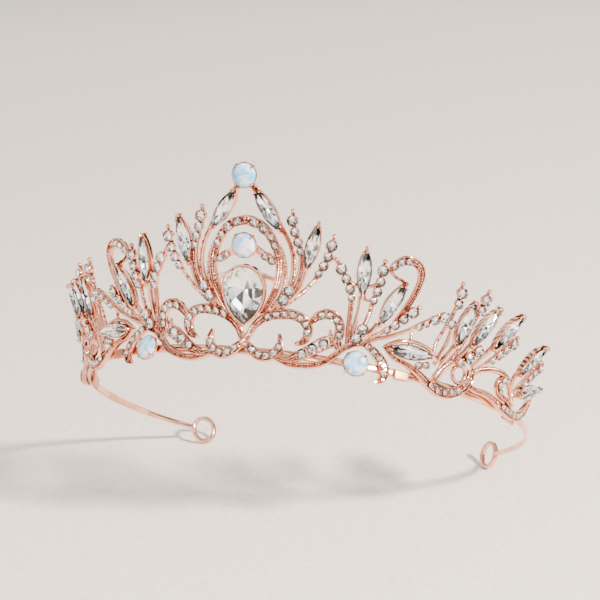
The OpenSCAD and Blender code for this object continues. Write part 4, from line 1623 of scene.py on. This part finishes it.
@dataclass(frozen=True)
class OpalStone:
    """An opal in its turned cup.

    Attributes:
        across: Diameter of the opal.
        wall: Thickness of the cup's wall.
        floor: Thickness of the cup's floor.
        rise: Height of the wall above the floor.
        gap: Gap between the opal and the wall.
    """

    across: float = 7.0
    wall: float = 0.5
    floor: float = 0.5
    rise: float = 1.6
    gap: float = 0.04

    def gem(self) -> Mesh:
        """Cut the opal: a low dome of small facets round a flat table.

        Returns:
            The stone, in its cup's frame.
        """
        girdle, low = 1.3, self.floor + LAID
        r = self.across / 2
        points = (round_ring(24, r, low) + round_ring(24, r, low + girdle)
                  + round_ring(12, r * 0.84, low + girdle + 0.75, 15)
                  + round_ring(12, r * 0.6, low + girdle + 1.24)
                  + round_ring(6, r * 0.3, low + girdle + 1.52, 15))
        return hull_gem(points, -9, "opal")

    def cup(self) -> Mesh:
        """Turn the cup, with a foot ring and a rolled rim, and add its four claws.

        Returns:
            The cup, with its back at zero.
        """
        r = self.across / 2 + self.gap
        top = self.floor + self.rise * 0.7
        profile = [(0, 0), (r - 0.7, 0), (r + 0.2, self.floor + 0.4), (r + 0.3, top - 0.3),
                   (r + 0.24, top - 0.06), (r + 0.14, top), (r, top - 0.1), (r, self.floor),
                   (0, self.floor)]
        bm = bmesh.new()
        spin_profile(bm, profile, 40, closed=False)
        claw = ((r + 0.3, 0.6, 1, 0, 0.9), (r + 0.36, top - 0.1, 1, 0.1, 0.8),
                (r + 0.2, top + 0.5, 0.7, 0.7, 0.7), (r - 0.45, top + 0.85, 0.2, 1, 0.55))
        for quarter in range(4):
            turn = about_z(45 + 90 * quarter)
            rings = [ring_at(turn, Vector((x, 0, z)), Vector((0, 1, 0)), Vector((nx, 0, nz)),
                             width) for x, z, nx, nz, width in claw]
            sweep(bm, lambda r: oval(r.width / 2, 0.26), rings)
        return keep_shape(bm, "opal_cup")

    def build(self) -> None:
        """Set the four opals where the CAD part has them."""
        gem, cup = self.gem(), self.cup()
        for name, turn in (("apex", 0), ("centre", 20), ("left", 40), ("right", 65)):
            flat = max(backs_of(f"opal_{name}"), key=lambda f: f.across)
            axis = -flat.normal
            place = facing(flat.middle - axis * (self.floor + LAID),
                           OUT.cross(axis).normalized(), axis)
            for kind, shape, finish, slot, angle in (
                    ("opal_stone", gem, OPAL, "opal", turn),
                    ("opal_bezel", cup, ROSE, "rose_plate", 0)):
                bm = bmesh.new()
                stamp(bm, shape, place @ about_z(angle))
                piece = settle(bm, f"{kind}_{name}", [finish], None if finish is OPAL else 38.0)
                node = f"opal_{name}" if finish is OPAL else f"cup_{name}"
                stand_for(piece, slot, node)


# ---------- headband ----------

@dataclass(frozen=True)
class Headband:
    """The strap wire round the head, its ring eyes and its brazed plates.

    Attributes:
        radius: Radius of the wire's centre line.
        height: Height of the strap.
        thickness: Thickness of the strap.
        end_height: Height of the wire where it meets a ring eye.
        eye_angle: Angle from the front to a ring eye's centre, in degrees.
        eye_hole: Radius of a ring eye's hole.
        eye_wall: Width of the ring.
        eye_thickness: Thickness of the ring along its hole.
        eye_soft: Radius of the ring's rounded edges.
        edge_share: Radius of the strap's edges, as a share of half its thickness.
        steps: Cross-sections along the strap.
        plate_edge: Radius of the brazed plates' edges.
    """

    radius: float = 70.0
    height: float = 2.4
    thickness: float = 1.2
    end_height: float = 1.5
    eye_angle: float = 134.0
    eye_hole: float = 3.2
    eye_wall: float = 1.4
    eye_thickness: float = 1.6
    eye_soft: float = 0.42
    edge_share: float = 0.62
    steps: int = 180
    plate_edge: float = 0.28

    def build(self) -> None:
        """Build the strap, the ring eyes and the plates."""
        bm = bmesh.new()
        sweep(bm, self.strap_section, self.strap_rings())
        stand_for(settle(bm, "strap_wire", [STRAP]), "rose_plate", "headband")
        for sign, side in SIDES:
            self.build_eye(sign, side)
            self.build_plate(f"pad_mid_{side}", f"front_plate_{side}")
            self.build_plate(f"pad_end_{side}", f"inner_plate_{side}")

    def strap_rings(self) -> list[Ring]:
        """Return the cross-sections of the strap; width holds its height at each.

        Returns:
            The cross-sections in order.
        """
        reach = (self.eye_hole + self.eye_wall * 0.55) / self.radius
        end = math.radians(self.eye_angle) - reach
        rings = []
        for i in range(self.steps + 1):
            a = end * (2 * i / self.steps - 1)
            back = max(0.0, -math.cos(a) / -math.cos(end))
            height = self.height - (self.height - self.end_height) * back
            out = Vector((math.sin(a), -math.cos(a), 0))
            rings.append(Ring(out * self.radius + Vector((0, 0, FACE.band_z)),
                              Vector((0, 0, 1)), out, height, self.radius * a))
        return rings

    def strap_section(self, ring: Ring) -> list[Point]:
        """Outline of the strap: flat faces with rounded edges.

        Args:
            ring: The cross-section.

        Returns:
            Points of the outline, across and out.
        """
        h, t = ring.width / 2, self.thickness / 2
        c = t * self.edge_share
        corners = ((h - c, t - c, 0), (c - h, t - c, 90), (c - h, c - t, 180), (h - c, c - t, 270))
        points = []
        for x, y, start in corners:
            for k in range(4):
                a = math.radians(start + 30 * k)
                points.append((x + c * math.cos(a), y + c * math.sin(a)))
        return points

    def build_eye(self, sign: int, side: str) -> None:
        """Turn a ring eye from round wire that is flattened inside.

        Args:
            sign: Mirror sign of its side.
            side: Name of its side.
        """
        outer, half = self.eye_hole + self.eye_wall, self.eye_thickness / 2
        soft = self.eye_soft
        profile = [(self.eye_hole, 0.5 * half), (self.eye_hole, -0.5 * half)]
        for x, z, start in ((self.eye_hole + soft, soft - half, 200),
                            (outer - soft, soft - half, 270), (outer - soft, half - soft, 360),
                            (self.eye_hole + soft, half - soft, 450)):
            for k in range(4):
                a = math.radians(start + 22 * k)
                profile.append((x + soft * math.cos(a), z + soft * math.sin(a)))
        bm = bmesh.new()
        spin_profile(bm, profile, 64)
        place = (mirror(sign) @ about_z(self.eye_angle)
                 @ Matrix.Translation((0, -self.radius, FACE.band_z))
                 @ Matrix.Rotation(math.pi / 2, 4, "X"))
        shape = keep_shape(bm, "eye")
        bm = bmesh.new()
        stamp(bm, shape, place)
        stand_for(settle(bm, f"ring_eye_{side}", [STRAP]), "rose_plate", f"eye_{side}")

    def build_plate(self, node: str, name: str) -> None:
        """Round the edges of a brazed plate's CAD solid.

        Args:
            node: CAD node of the plate.
            name: Name of the piece.
        """
        bm = cad_mesh(node)
        bmesh.ops.dissolve_limit(bm, angle_limit=math.radians(2), verts=bm.verts, edges=bm.edges)
        bmesh.ops.bevel(bm, geom=list(bm.edges), offset=self.plate_edge, segments=3,
                        offset_type="OFFSET", profile=0.5, affect="EDGES", material=-1)
        stand_for(settle(bm, name, [BRAZE_WITH_PAINTED_SHADE]), "rose_plate", node)


# ---------- studio ----------

def pointed(place: Vector, z: Vector) -> Matrix:
    """Return the frame at place whose Z axis points along z."""
    return Matrix.Translation(place) @ z.to_track_quat("Z", "Y").to_matrix().to_4x4()


@dataclass(frozen=True)
class Studio:
    """The camera, the card that the tiara stands on, and the light.

    Attributes:
        camera_at: Place of the camera, in millimetres.
        camera_turn: Azimuth, elevation and roll of the view, in radians.
        lens_mm: Focal length.
        sensor_mm: Width of the sensor.
        clip: Nearest and farthest distances that are seen, in metres.
        card_tilt: Tilt of the card: the tiara rests on its ring eyes with its front propped up.
        card_size: Width of the card, in metres.
    """

    camera_at: tuple[float, float, float] = (192.555, -638.45, -135.529)
    camera_turn: tuple[float, float, float] = (0.30376, -0.256704, 0.148455)
    lens_mm: float = 128.08
    sensor_mm: float = 36.0
    clip: Point = (0.01, 20.0)
    card_tilt: float = 38.0
    card_size: float = 1.8

    def build(self) -> None:
        """Build the camera, the card, the lights and the surroundings."""
        self.build_camera()
        up = Vector((0, -math.sin(math.radians(self.card_tilt)),
                     math.cos(math.radians(self.card_tilt))))
        self.build_card(up)
        self.build_world(up)
        self.build_lights(up)

    def axes(self) -> Matrix:
        """Return the camera's right, up and back directions as the columns of a matrix.

        Returns:
            The three directions.
        """
        azimuth, elevation, roll = self.camera_turn
        back = Vector((math.sin(azimuth) * math.cos(elevation),
                       -math.cos(azimuth) * math.cos(elevation), math.sin(elevation)))
        right = Vector((math.cos(azimuth), math.sin(azimuth), 0))
        up = back.cross(right)
        tilt_r = right * math.cos(roll) + up * math.sin(roll)
        tilt_u = up * math.cos(roll) - right * math.sin(roll)
        return Matrix((tilt_r, tilt_u, back)).transposed()

    def build_camera(self) -> None:
        """Place the camera."""
        data = bpy.data.cameras.new("camera")
        data.lens, data.sensor_width = self.lens_mm, self.sensor_mm
        data.clip_start, data.clip_end = self.clip
        place = Matrix.Translation(Vector(self.camera_at) * MM) @ self.axes().to_4x4()
        bpy.context.scene.camera = add_object("camera", data, place)

    def build_card(self, up: Vector) -> None:
        """Lay the card under the lowest points of the ring eyes.

        Args:
            up: Normal of the card.
        """
        low = min(up.dot(v.co) for _, side in SIDES
                  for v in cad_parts[f"eye_{side}"].data.vertices)
        bm = bmesh.new()
        bmesh.ops.create_grid(bm, x_segments=8, y_segments=8, size=self.card_size / 2)
        mesh = keep_shape(bm, "card")
        mesh.materials.append(CARD.material())
        card = add_object("card", mesh, pointed(up * low, up))

    def build_world(self, up: Vector) -> None:
        """Give the surroundings: plain pale to the eye, with soft boxes and flags in gloss.

        Args:
            up: Normal of the card.
        """
        world = bpy.data.worlds.new("studio")
        world.use_nodes = True
        bpy.context.scene.world = world
        tree = world.node_tree
        tree.nodes.clear()
        way = add_node(tree, "ShaderNodeTexCoord").outputs["Generated"]
        height = add_node(tree, "ShaderNodeVectorMath", {1: up}, {0: way},
                          operation="DOT_PRODUCT").outputs["Value"]
        wall = ramp(tree, remap(tree, height, -1.0, 1.0), [
            (0.0, "#8f857d"), (0.4, "#e9ddd2"), (0.54, "#cfc4bb"),
            (0.6, "#1c1a18"), (0.8, "#24211f"), (0.85, "#ffffff"), (0.93, "#ffffff"),
            (0.96, "#1c1a18"), (1.0, "#1c1a18")])
        bands = add_node(tree, "ShaderNodeTexWave",
                         {"Scale": 1.7, "Distortion": 1.5, "Detail": 1.0, "Phase Offset": 0.6},
                         {"Vector": way}, bands_direction="DIAGONAL").outputs["Fac"]
        boxes = ramp(tree, bands, [(0.0, "#000000"), (0.6, "#000000"), (0.72, "#ffffff"),
                                   (1.0, "#ffffff")])
        seen = add_node(tree, "ShaderNodeBackground",
                        {"Color": linear("#dfd7d0"), "Strength": 1.5}).outputs["Background"]
        room = add_node(tree, "ShaderNodeBackground", {"Strength": 0.62},
                        {"Color": wall}).outputs["Background"]
        lit = add_node(tree, "ShaderNodeBackground", {"Strength": 2.0},
                       {"Color": boxes}).outputs["Background"]
        felt = add_node(tree, "ShaderNodeAddShader", links={0: room, 1: lit}).outputs["Shader"]
        eye = add_node(tree, "ShaderNodeLightPath").outputs["Is Camera Ray"]
        mixed = add_node(tree, "ShaderNodeMixShader", links={0: eye, 1: felt, 2: seen})
        add_node(tree, "ShaderNodeOutputWorld", links={"Surface": mixed.outputs["Shader"]})

    def build_lights(self, up: Vector) -> None:
        """Hang the lamps round the tiara: a key from the right and two weak fills.

        Args:
            up: Normal of the card.
        """
        axes = self.axes()
        right, towards = axes.col[0], axes.col[2]
        level = (towards - up * towards.dot(up)).normalized()
        for name, place, size, power in (
                ("key", right * 0.75 + up * 0.8 + level * 0.7, 0.12, 48.0),
                ("fill", right * -0.8 + up * 0.5 + level * 0.5, 0.5, 2.0),
                ("front", up * 0.55 + level * 0.9, 0.3, 2.0)):
            data = bpy.data.lights.new(name, "AREA")
            data.shape, data.size, data.energy = "DISK", size, power
            add_object(name, data, pointed(place, place))


def main() -> None:
    """Build the tiara and its studio."""
    logging.basicConfig(level=logging.INFO, format="%(name)s: %(message)s")
    Studio().build()
    CrownPattern().build()
    PearStone().build()
    OpalStone().build()
    Headband().build()


if __name__ == "__main__":
    main()
